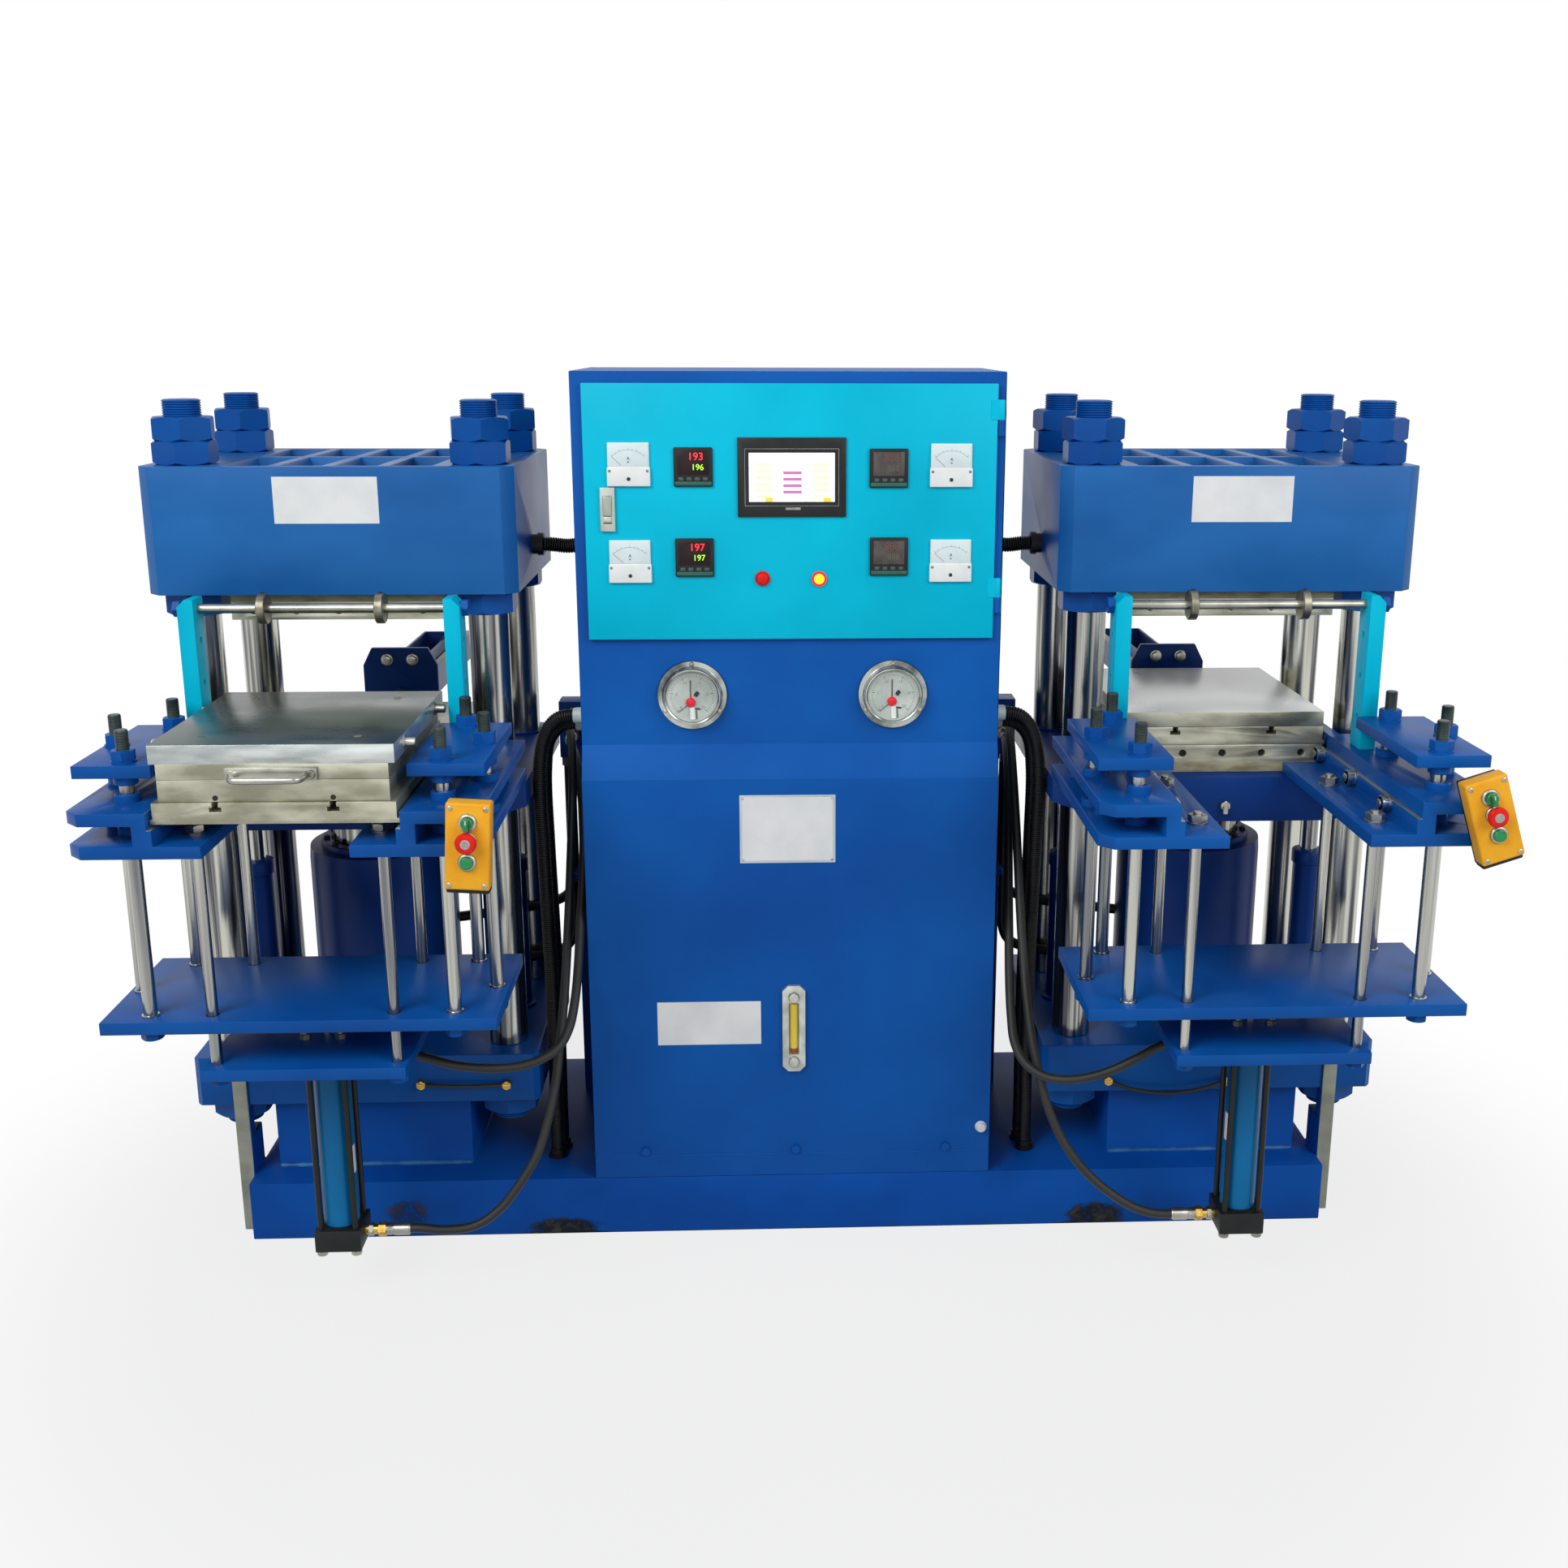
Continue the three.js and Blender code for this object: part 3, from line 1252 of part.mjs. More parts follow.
// Door with its instruments, which hang on it and swing with it
function cabinetDoor() {
  const front = -seatGap - doorThickness;
  const back = -seatGap;
  const sheet = block(doorLeft, doorRight, front, back, doorBottom, doorTop);
  const meters = ammeterShares.map(onDoor).map(([x, z]) => instrument(x, z, ammeterSize, ammeterSize,
    ammeterProud, ammeterBodySize, ammeterBodySize, ammeterBodyDepth, front));
  const controllers = controllerShares.map(onDoor).map(([x, z]) => instrument(x, z, controllerSize,
    controllerSize, controllerProud, controllerBodySize, controllerBodySize, controllerBodyDepth, front));
  const [lampX, lampZ] = onDoor(lampShares);
  const [lockX, lockZ] = onDoor(lockShares);
  const lamp = lengthwise(lampDiameter, lampX, lampZ, front - lampProud, front + weldDepth);
  const [buttonX, buttonZ] = onDoor(heatingButtonShares);
  const bezel = lengthwise(heatingBezelDiameter, buttonX, buttonZ, front - heatingBezelProud,
    front + weldDepth);
  const holes = [
    lengthwise(heatingCapDiameter, buttonX, buttonZ, front - heatingBezelProud - cutOverrun,
      back - doorThickness / 2, slideGap),
    lengthwise(heatingStemDiameter, buttonX, buttonZ, front, back + cutOverrun, slideGap),
    lengthwise(lockStemDiameter, lockX, lockZ, front - cutOverrun, back + cutOverrun, turnGap),
  ];
  const hinges = hingeShares.map((share) => doorHinge(upDoor(share), front));
  return without(joined([sheet, ...meters, ...controllers, touchScreen(front), lamp, bezel, ...hinges]),
    holes);
}

function instrument(x, z, width, height, proud, bodyWidth, bodyHeight, bodyDepth, front) {
  const bezel = block(x - width / 2, x + width / 2, front - proud, front + weldDepth, z - height / 2,
    z + height / 2);
  const body = block(x - bodyWidth / 2, x + bodyWidth / 2, -weldDepth, bodyDepth,
    z - bodyHeight / 2, z + bodyHeight / 2);
  return joined([bezel, body]);
}

function touchScreen(front) {
  const [x, z] = onDoor(screenShares);
  const bezel = instrument(x, z, screenWidth, screenHeight, screenProud, screenWidth - 2 * screenBodyInset,
    screenHeight - 2 * screenBodyInset, screenBodyDepth, front);
  const glass = block(x - screenGlassWidth / 2, x + screenGlassWidth / 2, front - screenProud - cutOverrun,
    front - screenProud + screenRecess, z - screenGlassHeight / 2, z + screenGlassHeight / 2);
  return bezel.subtract(glass);
}

function doorHinge(z, front) {
  const bottom = z + seatGap;
  const top = z + hingeLength + hingePinDiameter;
  const knuckle = upright(hingeDiameter, hingeX, -hingeSetback, bottom, top);
  const leaf = block(doorRight - hingeDiameter, hingeX, front - weldDepth, front + weldDepth, bottom, top);
  const bore = upright(hingePinDiameter, hingeX, -hingeSetback, bottom - cutOverrun,
    z + hingeLength + seatGap, turnGap);
  return joined([knuckle, leaf]).subtract(bore);
}

function heatingButton() {
  const [x, z] = onDoor(heatingButtonShares);
  const front = -seatGap - doorThickness;
  const cap = lengthwise(heatingCapDiameter, x, z, front - heatingCapProud, front);
  const stem = lengthwise(heatingStemDiameter, x, z, front - weldDepth, front + heatingStemLength);
  return cap.add(stem);
}

function doorLock() {
  const [x, z] = onDoor(lockShares);
  const front = -seatGap - doorThickness - seatGap;
  const outline = cornerCutOutline(x - lockWidth / 2, x + lockWidth / 2, z - lockHeight / 2,
    z + lockHeight / 2, lockCorner);
  const handle = extrudedAlongY(outline, front - lockProud, front);
  const camFront = lockCamSetback;
  const stem = lengthwise(lockStemDiameter, x, z, front - weldDepth, camFront + weldDepth);
  const cam = block(x - lockCamWidth / 2, x + lockCamWidth / 2, camFront, camFront + lockCamThickness,
    z - lockCamWidth / 2, z + lockCamLength);
  return joined([handle, stem, cam]);
}

function gaugeX(share) {
  return share * cabinetHalfWidth;
}

// Pressure gauge: flange and bezel outside, case and stem through the cabinet wall
function pressureGauge(x, z) {
  const flangeBack = -seatGap;
  const flangeFront = flangeBack - gaugeFlangeThickness;
  const bezelFront = flangeFront - gaugeBezelProud;
  const flange = lengthwise(gaugeFlangeDiameter, x, z, flangeFront, flangeBack);
  const bezel = lengthwise(gaugeBezelDiameter, x, z, bezelFront, flangeFront + weldDepth);
  const face = lengthwise(gaugeBezelDiameter, x, z, bezelFront - cutOverrun, bezelFront + gaugeFaceDepth,
    -gaugeBezelWall);
  const body = lengthwise(gaugeBodyDiameter, x, z, flangeBack - weldDepth, gaugeBodyDepth);
  const stem = lengthwise(gaugePortDiameter, x, z, gaugeBodyDepth - weldDepth,
    gaugeBodyDepth + gaugePortLength);
  return joined([flange, bezel, body, stem]).subtract(face);
}

function oilLevelGauge() {
  const back = -tankFaceProud - seatGap;
  const front = back - levelGaugeDepth;
  const half = levelGaugeWidth / 2;
  const top = levelGaugeBottom + levelGaugeHeight;
  const outline = cornerCutOutline(levelGaugeCentreX - half, levelGaugeCentreX + half, levelGaugeBottom, top,
    levelGaugeWidth / 4);
  const body = extrudedAlongY(outline, front, back);
  const middle = (levelGaugeBottom + top) / 2;
  const window = block(levelGaugeCentreX - levelWindowWidth / 2, levelGaugeCentreX + levelWindowWidth / 2,
    front - cutOverrun, front + levelGaugeDepth / 2, middle - levelWindowHeight / 2,
    middle + levelWindowHeight / 2);
  const bolts = [levelGaugeBottom + half, top - half].map((z) => lengthwise(levelBoltDiameter,
    levelGaugeCentreX, z, front - levelBoltHeight, front + weldDepth));
  return joined([body.subtract(window), ...bolts]);
}

// Hydraulic unit: tank on the skid, motor and pump on its lid, valve stack, and a port block at each side
function hydraulicUnit() {
  const bottom = baseHeight + seatGap;
  const front = cabinetDepth + tankGap;
  const back = front + tankDepth;
  const lidTop = bottom + tankHeight;
  const tank = block(-tankHalfWidth, tankHalfWidth, front, back, bottom,
    lidTop - tankLidThickness + weldDepth);
  const reach = tankHalfWidth + tankLidOverhang;
  const lid = block(-reach, reach, front - tankLidOverhang, back + tankLidOverhang,
    lidTop - tankLidThickness, lidTop);
  const motorHeight = lidTop + motorFootHeight + motorDiameter / 2;
  const motorY = back - motorDiameter;
  return joined([tank, lid, ...motorAndPump(motorY, motorHeight, lidTop), ...valveStack(front, lidTop),
    ...bothSides(portBlock(lidTop))]);
}

function motorAndPump(y, z, floor) {
  const left = -motorLength / 2 - bellLength / 2;
  const right = left + motorLength;
  const finned = [];
  for (let i = 0; i < 2 * motorFins; i++) {
    const angle = (i * Math.PI) / motorFins;
    const radius = motorDiameter / 2 - (i % 2) * motorFinHeight;
    finned.push([y + radius * Math.cos(angle), z + radius * Math.sin(angle)]);
  }
  const barrel = extrudedAlongX(finned, left, right);
  const middle = (left + right) / 2;
  const foot = block(middle - motorFootLength / 2, middle + motorFootLength / 2, y - motorFootWidth / 2,
    y + motorFootWidth / 2, floor - weldDepth, z - motorDiameter / 2 + motorFootHeight);
  const box = block(middle - motorBoxSize / 2, middle + motorBoxSize / 2, y - motorBoxSize / 2,
    y + motorBoxSize / 2, z + motorDiameter / 2 - 2 * motorFinHeight, z + motorDiameter / 2 + motorBoxRise);
  const bell = crosswise(bellDiameter, y, z, right - weldDepth, right + bellLength);
  const pump = crosswise(pumpDiameter, y, z, right + bellLength - weldDepth, right + bellLength + pumpLength);
  return [barrel, foot, box, bell, pump];
}

function valveStack(front, floor) {
  const y0 = front + tankLidOverhang;
  const y1 = y0 + valveBlockDepth;
  const top = floor + valveBlockHeight;
  const manifold = block(-valveBlockWidth / 2, valveBlockWidth / 2, y0, y1, floor - weldDepth, top);
  const pitch = valveBlockWidth / valveCount;
  const valves = [];
  for (let i = 0; i < valveCount; i++) {
    const x = (i + 1 / 2 - valveCount / 2) * pitch;
    valves.push(block(x - valveSize / 2, x + valveSize / 2, (y0 + y1) / 2 - valveLength / 2,
      (y0 + y1) / 2 + valveLength / 2, top - weldDepth, top + valveSize));
  }
  return [manifold, ...valves];
}

function portBlock(floor) {
  const x0 = portBlockInner;
  const x1 = portBlockInner + portBlockWidth;
  const back = portBlockFront + portBlockDepth;
  const body = block(x0, x1, portBlockFront, back, portBlockBottom, portBlockBottom + portBlockHeight);
  const post = block(x0, x0 + portPostWidth, portBlockFront + portBlockDepth / 4, back - portBlockDepth / 4,
    floor - weldDepth, portBlockBottom + weldDepth);
  const ports = [upperHosePort, lowerHosePort].map((z) => lengthwise(crimpDiameter, hosePortX, z,
    portBlockFront - hosePortReach, portBlockFront + weldDepth));
  return joined([body, post, ...ports]);
}

function hose(route) {
  const curve = new THREE.CatmullRomCurve3(route.map(([x, y, z]) => new THREE.Vector3(x, y, z)));
  return tubeAlong(curve, hoseDiameter, hoseSides, hoseSteps);
}

// Assembly of one press about its own middle line; inner is the side that faces the cabinet
function press(side) {
  const group = new THREE.Group();
  const inner = side === "left" ? 1 : -1;
  group.position.x = -inner * pressOffset;
  const add = (name, solid, paint) => group.add(meshOf(`${side}_${name}`, solid, paint));
  add("upper_beam", upperBeam(inner), paints.blue);
  const corners = ["left_front", "left_rear", "right_front", "right_rear"];
  columnPlaces().forEach(([x, y], i) => add(`column_${corners[i]}`, column(x, y), paints.chrome));
  add("upper_hot_plate", hotPlate(upperBeamBottom - seatGap - upperInsulation - heaterThickness,
    upperInsulation, true), paints.steel);
  add("lower_beam", lowerBeam(), paints.blue);
  add("main_cylinder", mainCylinder(), paints.darkBlue);
  add("moving_platen", movingPlaten(), paints.darkBlue);
  add("lower_hot_plate", hotPlate(platenTop + seatGap, lowerInsulation, false), paints.steel);
  add("rail_right", rail(), paints.blue);
  add("rail_left", mirrored(rail()), paints.blue);
  add("crossbar", crossbar(), paints.cyan);
  add("ejector_frame", ejectorFrame(), paints.blue);
  add("ejector_hanger", ejectorHanger(), paints.blue);
  add("ejector_cylinder", ejectorCylinder(inner), paints.tubeBlue);
  add("slide_cylinder", slideCylinder(), paints.darkBlue);
  group.add(slidingGroup(side), stationGroup(side));
  return group;
}

// Carriage and what lies on it: out at the front on the left press, in between the plates on the right one
function slidingGroup(side) {
  const group = new THREE.Group();
  group.position.y = side === "left" ? -slideTravel : 0;
  group.add(meshOf(`${side}_carriage`, carriage(), paints.steel));
  if (side === "left") {
    group.add(meshOf("left_mould_base", mouldBase(), paints.steel));
    group.add(meshOf("left_mould_top", mouldTop(), paints.steel));
  } else {
    group.add(meshOf("right_plain_plate", plainPlate(), paints.steel));
  }
  return group;
}

function stationGroup(side) {
  const group = new THREE.Group();
  group.position.set(railFlangeOuter - stationInset[side], 0, railTop - stationDrop[side]);
  group.rotation.y = THREE.MathUtils.degToRad(stationRoll[side]);
  group.add(meshOf(`${side}_control_station`, controlStation(), paints.yellow));
  group.add(meshOf(`${side}_stop_button`, stopButton(), paints.red));
  group.add(meshOf(`${side}_start_button`, startButton(), paints.green));
  group.add(meshOf(`${side}_selector`, selector(), paints.green));
  return group;
}

const machine = new THREE.Group();
machine.add(meshOf("base_frame", baseFrame(), paints.blue));
machine.add(press("left"), press("right"));
machine.add(meshOf("cabinet_body", cabinetBody(), paints.blue));
machine.add(meshOf("cabinet_door", cabinetDoor(), paints.cyan));
machine.add(meshOf("door_lock", doorLock(), paints.black));
machine.add(meshOf("heating_button", heatingButton(), paints.red));
for (const [side, share] of Object.entries(gaugeShares)) {
  machine.add(meshOf(`pressure_gauge_${side}`, pressureGauge(gaugeX(share), gaugeHeight), paints.steel));
}
machine.add(meshOf("oil_level_gauge", oilLevelGauge(), paints.chrome));
machine.add(meshOf("hydraulic_unit", hydraulicUnit(), paints.darkBlue));
for (const [name, route] of Object.entries(hoseRoutes)) {
  machine.add(meshOf(`${name}_hose`, hose(route), paints.black));
}

export default machine;
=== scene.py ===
"""A vulcanizing press: two column presses beside one control cabinet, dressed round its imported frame."""
import math

import bpy
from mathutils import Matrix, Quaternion, Vector


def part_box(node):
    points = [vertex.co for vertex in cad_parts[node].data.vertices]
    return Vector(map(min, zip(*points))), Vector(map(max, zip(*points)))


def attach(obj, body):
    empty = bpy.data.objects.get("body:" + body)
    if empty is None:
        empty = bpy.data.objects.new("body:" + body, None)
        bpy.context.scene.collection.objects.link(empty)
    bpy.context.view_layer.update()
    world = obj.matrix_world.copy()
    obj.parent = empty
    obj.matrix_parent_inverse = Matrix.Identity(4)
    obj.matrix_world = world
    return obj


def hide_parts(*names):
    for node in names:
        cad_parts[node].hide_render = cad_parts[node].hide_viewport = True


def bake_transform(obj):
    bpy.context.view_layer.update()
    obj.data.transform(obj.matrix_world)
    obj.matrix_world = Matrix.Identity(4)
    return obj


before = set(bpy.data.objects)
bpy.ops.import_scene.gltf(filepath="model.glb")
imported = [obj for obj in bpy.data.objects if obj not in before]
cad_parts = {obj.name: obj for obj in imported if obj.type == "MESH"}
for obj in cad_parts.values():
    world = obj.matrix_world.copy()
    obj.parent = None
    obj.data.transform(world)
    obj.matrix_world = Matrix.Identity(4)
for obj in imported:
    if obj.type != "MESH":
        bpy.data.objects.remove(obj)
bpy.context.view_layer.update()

# Camera. One lens at eye height, a little left of the middle line, looking slightly down and to the right.
# Its place and turn fit the straight edges of the machine in the photograph.
eye = (-0.0378, -3.1346, 1.7992)
yaw, pitch, roll = 0.0435, 0.2466, 0.0029
bpy.ops.object.camera_add(location=eye)
camera = bpy.context.active_object
camera.name = "camera"
camera.data.lens = 38.09
camera.data.sensor_width = 36
camera.data.shift_x = -0.0367
camera.data.shift_y = -0.0186
camera.data.clip_end = 60
looking = Vector((math.sin(yaw) * math.cos(pitch), math.cos(yaw) * math.cos(pitch), -math.sin(pitch)))
camera.rotation_mode = "QUATERNION"
camera.rotation_quaternion = looking.to_track_quat("-Z", "Y") @ Quaternion((0, 0, 1), roll)
bpy.context.scene.camera = camera

# Hydraulic hoses. Wire-braided black rubber, 18 mm outside, 1.1 to 1.3 m long, from the two ports of an
# ejector cylinder to a port block of the hydraulic unit behind. Each end is crimped in a plated ferrule
# with a brass swivel nut. The lower end rises with the platen; the hose itself is drawn as one fixed shape.
hose_diameter = 0.018
hose_routes = {
    "left_lower": [(-0.7447, -0.235, 0.138), (-0.715, -0.235, 0.138), (-0.679, -0.231, 0.131),
        (-0.618, -0.22, 0.132), (-0.572, -0.208, 0.158), (-0.533, -0.192, 0.203), (-0.499, -0.172, 0.256),
        (-0.48, -0.15, 0.313), (-0.466, -0.122, 0.376), (-0.458, -0.09, 0.447), (-0.45, -0.045, 0.547),
        (-0.446, 0.005, 0.646), (-0.444, 0.06, 0.746), (-0.444, 0.125, 0.846), (-0.447, 0.19, 0.923),
        (-0.455, 0.255, 0.975), (-0.464, 0.31, 0.996), (-0.471, 0.362, 1.001), (-0.471, 0.3997, 1.001)],
    "left_upper": [(-0.7447, -0.235, 0.5), (-0.715, -0.236, 0.5), (-0.692, -0.241, 0.496),
        (-0.634, -0.246, 0.48), (-0.575, -0.24, 0.47), (-0.524, -0.225, 0.465), (-0.481, -0.206, 0.47),
        (-0.448, -0.183, 0.485), (-0.43, -0.158, 0.512), (-0.421, -0.122, 0.555), (-0.418, -0.075, 0.608),
        (-0.418, -0.01, 0.685), (-0.418, 0.065, 0.764), (-0.424, 0.145, 0.836), (-0.436, 0.22, 0.893),
        (-0.452, 0.29, 0.935), (-0.466, 0.34, 0.952), (-0.471, 0.368, 0.955), (-0.471, 0.3997, 0.955)],
    "right_lower": [(0.7447, -0.235, 0.138), (0.712, -0.235, 0.138), (0.668, -0.23, 0.148),
        (0.621, -0.22, 0.174), (0.574, -0.206, 0.212), (0.53, -0.192, 0.268), (0.499, -0.172, 0.334),
        (0.483, -0.15, 0.395), (0.471, -0.122, 0.455), (0.464, -0.09, 0.52), (0.46, -0.045, 0.603),
        (0.459, 0.005, 0.688), (0.46, 0.06, 0.772), (0.462, 0.125, 0.855), (0.464, 0.19, 0.924),
        (0.467, 0.255, 0.974), (0.47, 0.31, 0.996), (0.471, 0.362, 1.001), (0.471, 0.3997, 1.001)],
    "right_upper": [(0.7447, -0.235, 0.5), (0.718, -0.236, 0.5), (0.691, -0.241, 0.493),
        (0.65, -0.246, 0.472), (0.606, -0.24, 0.446), (0.562, -0.226, 0.425), (0.519, -0.208, 0.413),
        (0.482, -0.19, 0.414), (0.449, -0.165, 0.432), (0.433, -0.14, 0.462), (0.43, -0.108, 0.503),
        (0.431, -0.065, 0.56), (0.437, 0, 0.638), (0.444, 0.07, 0.715), (0.453, 0.15, 0.795),
        (0.461, 0.22, 0.863), (0.467, 0.29, 0.919), (0.47, 0.338, 0.948), (0.471, 0.368, 0.955),
        (0.471, 0.3997, 0.955)]}


def srgb(*colour):
    """An 8-bit colour, as the eye reads it, in linear light."""
    shares = [value / 255 for value in colour]
    return (*(s / 12.92 if s <= 0.04045 else ((s + 0.055) / 1.055) ** 2.4 for s in shares), 1.0)


def add_node(tree, kind, values=(), fed=(), operation=None):
    """A shader node with the values of its sockets and the outputs that feed them."""
    made = tree.nodes.new("ShaderNode" + kind)
    if operation:
        made.operation = operation
    for socket, value in dict(values).items():
        made.inputs[socket].default_value = value
    for socket, output in dict(fed).items():
        tree.links.new(output, made.inputs[socket])
    return made


def surface(name, colour, shade, roughness, metallic=0.0, cloud=4, grain=350, dent=0.1, gloss_spread=0.12,
        coat=0.0, shine=0.5, span=(0.32, 0.62)):
    """A finish with a slow drift between two colours, an uneven gloss and a fine relief."""
    made = bpy.data.materials.new(name)
    made.use_nodes = True
    made.diffuse_color = srgb(*colour)
    tree = made.node_tree
    shader = tree.nodes["Principled BSDF"].inputs
    shader["Metallic"].default_value = metallic
    shader["Coat Weight"].default_value = coat
    shader["Specular IOR Level"].default_value = shine
    place = add_node(tree, "TexCoord").outputs["Object"]

    def noise(scale, detail):
        scale = scale if isinstance(scale, tuple) else (scale, scale, scale)
        stretch = add_node(tree, "Mapping", {"Scale": scale}, {"Vector": place})
        spots = add_node(tree, "TexNoise", {"Scale": 1.0, "Detail": detail},
            {"Vector": stretch.outputs["Vector"]})
        return spots.outputs["Fac"]

    drift, relief = noise(cloud, 6), noise(grain, 2)
    ramp = add_node(tree, "ValToRGB", fed={"Fac": drift})
    ramp.name = "tint"
    for element, position, tone in zip(ramp.color_ramp.elements, span, (shade, colour)):
        element.position, element.color = position, srgb(*tone)
    gloss = add_node(tree, "MapRange", {"From Min": 0.3, "From Max": 0.7,
        "To Min": max(0.02, roughness - gloss_spread / 2),
        "To Max": min(1.0, roughness + gloss_spread / 2)}, {"Value": drift})
    bump = add_node(tree, "Bump", {"Strength": dent, "Distance": 0.0006}, {"Height": relief})
    tree.links.new(ramp.outputs["Color"], shader["Base Color"])
    tree.links.new(gloss.outputs["Result"], shader["Roughness"])
    tree.links.new(bump.outputs["Normal"], shader["Normal"])
    return made


def pick(*chosen):
    """Only these objects are selected, and the last is active."""
    bpy.ops.object.select_all(action="DESELECT")
    for one in chosen:
        one.select_set(True)
    bpy.context.view_layer.objects.active = chosen[-1]


def shaped(piece, finish):
    """A new piece keeps its place in its mesh and takes its finish."""
    pick(piece)
    bpy.ops.object.transform_apply(location=True, rotation=True, scale=True)
    piece.data.materials.clear()
    piece.data.materials.append(finish)
    return piece


turns = {"X": (0, math.pi / 2, 0), "-X": (0, -math.pi / 2, 0), "Y": (-math.pi / 2, 0, 0),
    "-Y": (math.pi / 2, 0, 0), "Z": (0, 0, 0), "-Z": (math.pi, 0, 0)}


def turned(finish, place, axis, stations, sides=48, per_metre=1000):
    """A round piece from the lathe. A station is a distance along the axis and a diameter, in millimetres."""
    (along, diameter), *rest = [(far / per_metre, wide / per_metre) for far, wide in stations]
    bpy.ops.mesh.primitive_circle_add(vertices=sides, radius=diameter / 2, fill_type="NGON",
        location=(0, 0, along))
    piece = bpy.context.active_object
    bpy.ops.object.transform_apply(location=True)
    bpy.ops.object.mode_set(mode="EDIT")
    bpy.ops.mesh.select_mode(type="FACE")
    bpy.ops.mesh.select_all(action="SELECT")
    for next_along, next_diameter in rest:
        share = next_diameter / diameter
        bpy.ops.mesh.extrude_region_move(TRANSFORM_OT_translate={"value": (0, 0, next_along - along)})
        bpy.ops.transform.resize(value=(share, share, 1), center_override=(0, 0, next_along))
        along, diameter = next_along, next_diameter
    bpy.ops.mesh.select_all(action="SELECT")
    bpy.ops.mesh.normals_make_consistent(inside=False)
    bpy.ops.object.mode_set(mode="OBJECT")
    piece.rotation_euler = turns[axis]
    piece.location = place
    return shaped(piece, finish)


def bar(finish, place, axis, length, diameter, chamfer=0.001, sides=32):
    """A plain round bar with a small chamfer at both ends."""
    end = diameter - 2 * chamfer
    stations = [(0, end), (chamfer, diameter), (length - chamfer, diameter), (length, end)]
    return turned(finish, place, axis, stations, sides, 1)


nut_blanks = {}


def cut_by(piece, cutter, operation="DIFFERENCE"):
    """Cuts a piece with another, which is used up."""
    pick(piece)
    cut = piece.modifiers.new("cut", "BOOLEAN")
    cut.operation, cut.object, cut.solver = operation, cutter, "EXACT"
    bpy.ops.object.modifier_apply(modifier="cut")
    bpy.data.objects.remove(cutter)
    return piece


def linked(name, data):
    """A new object in the scene, the only one selected."""
    made = bpy.data.objects.new(name, data)
    bpy.context.scene.collection.objects.link(made)
    pick(made)
    return made


def hexagon(finish, place, axis, length, across, turn=0.0):
    """A hexagon nut or bolt head whose corners are turned off in a shallow cone at both ends."""
    size = (round(length, 5), round(across, 5))
    if size not in nut_blanks:
        corner = across * 1.16
        drop = (corner - across) / 2 * math.tan(math.radians(30))
        stations = [(0, across), (drop, corner), (length - drop, corner), (length, across)]
        cone = turned(finish, (0, 0, 0), "Z", stations, 36, 1)
        bpy.ops.mesh.primitive_cylinder_add(vertices=6, radius=across / math.sqrt(3), depth=length * 1.2,
            location=(0, 0, length / 2))
        blank = shaped(bpy.context.active_object, finish)
        nut_blanks[size] = cut_by(blank, cone, "INTERSECT").data.copy()
        bpy.data.objects.remove(blank)
    piece = linked("nut", nut_blanks[size].copy())
    piece.rotation_euler = (0, 0, turn)
    shaped(piece, finish)
    piece.rotation_euler = turns[axis]
    piece.location = place
    return shaped(piece, finish)


def together(name, body, pieces, replaced=(), crease=35):
    """Joins shapes into one finished piece that rides on its body."""
    pick(*pieces)
    if len(pieces) > 1:
        bpy.ops.object.join()
    whole = bpy.context.active_object
    bpy.ops.object.shade_smooth_by_angle(angle=math.radians(crease))
    whole.name = whole.data.name = name
    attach(whole, body)
    if replaced:
        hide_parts(*replaced)


def smooth_line(points, steps=8):
    """The even curve through the points of a route."""
    points = [Vector(point) for point in points]
    ends = [points[0] * 2 - points[1], *points, points[-1] * 2 - points[-2]]
    line = []
    for i in range(1, len(ends) - 2):
        a, b, c, d = ends[i - 1:i + 3]
        ab, bc, cd = ((v - u).length ** 0.5 for u, v in ((a, b), (b, c), (c, d)))
        leave = ((b - a) / ab - (c - a) / (ab + bc) + (c - b) / bc) * bc
        arrive = ((c - b) / bc - (d - b) / (bc + cd) + (d - c) / cd) * bc
        for step in range(steps):
            t = step / steps
            line.append(b * (2 * t**3 - 3 * t**2 + 1) + leave * (t**3 - 2 * t**2 + t) + c
                * (3 * t**2 - 2 * t**3) + arrive * (t**3 - t**2))
    return [*line, ends[-2]]


def run_of(line):
    """The length of a line of points."""
    return sum((b - a).length for a, b in zip(line, line[1:]))


def drawn(line):
    """A curve object through a line of points."""
    curve = bpy.data.curves.new("route", "CURVE")
    curve.dimensions = "3D"
    spline = curve.splines.new("POLY")
    spline.points.add(len(line) - 1)
    for point, place in zip(spline.points, line):
        point.co = (*place, 1)
    return linked("route", curve)


def tube_along(finish, line, diameter, resolution=5):
    """A closed round tube that follows a line of points."""
    curve = drawn(line).data
    curve.bevel_depth = diameter / 2
    curve.bevel_resolution = resolution
    curve.use_fill_caps = True
    bpy.ops.object.convert(target="MESH")
    return shaped(bpy.context.active_object, finish)


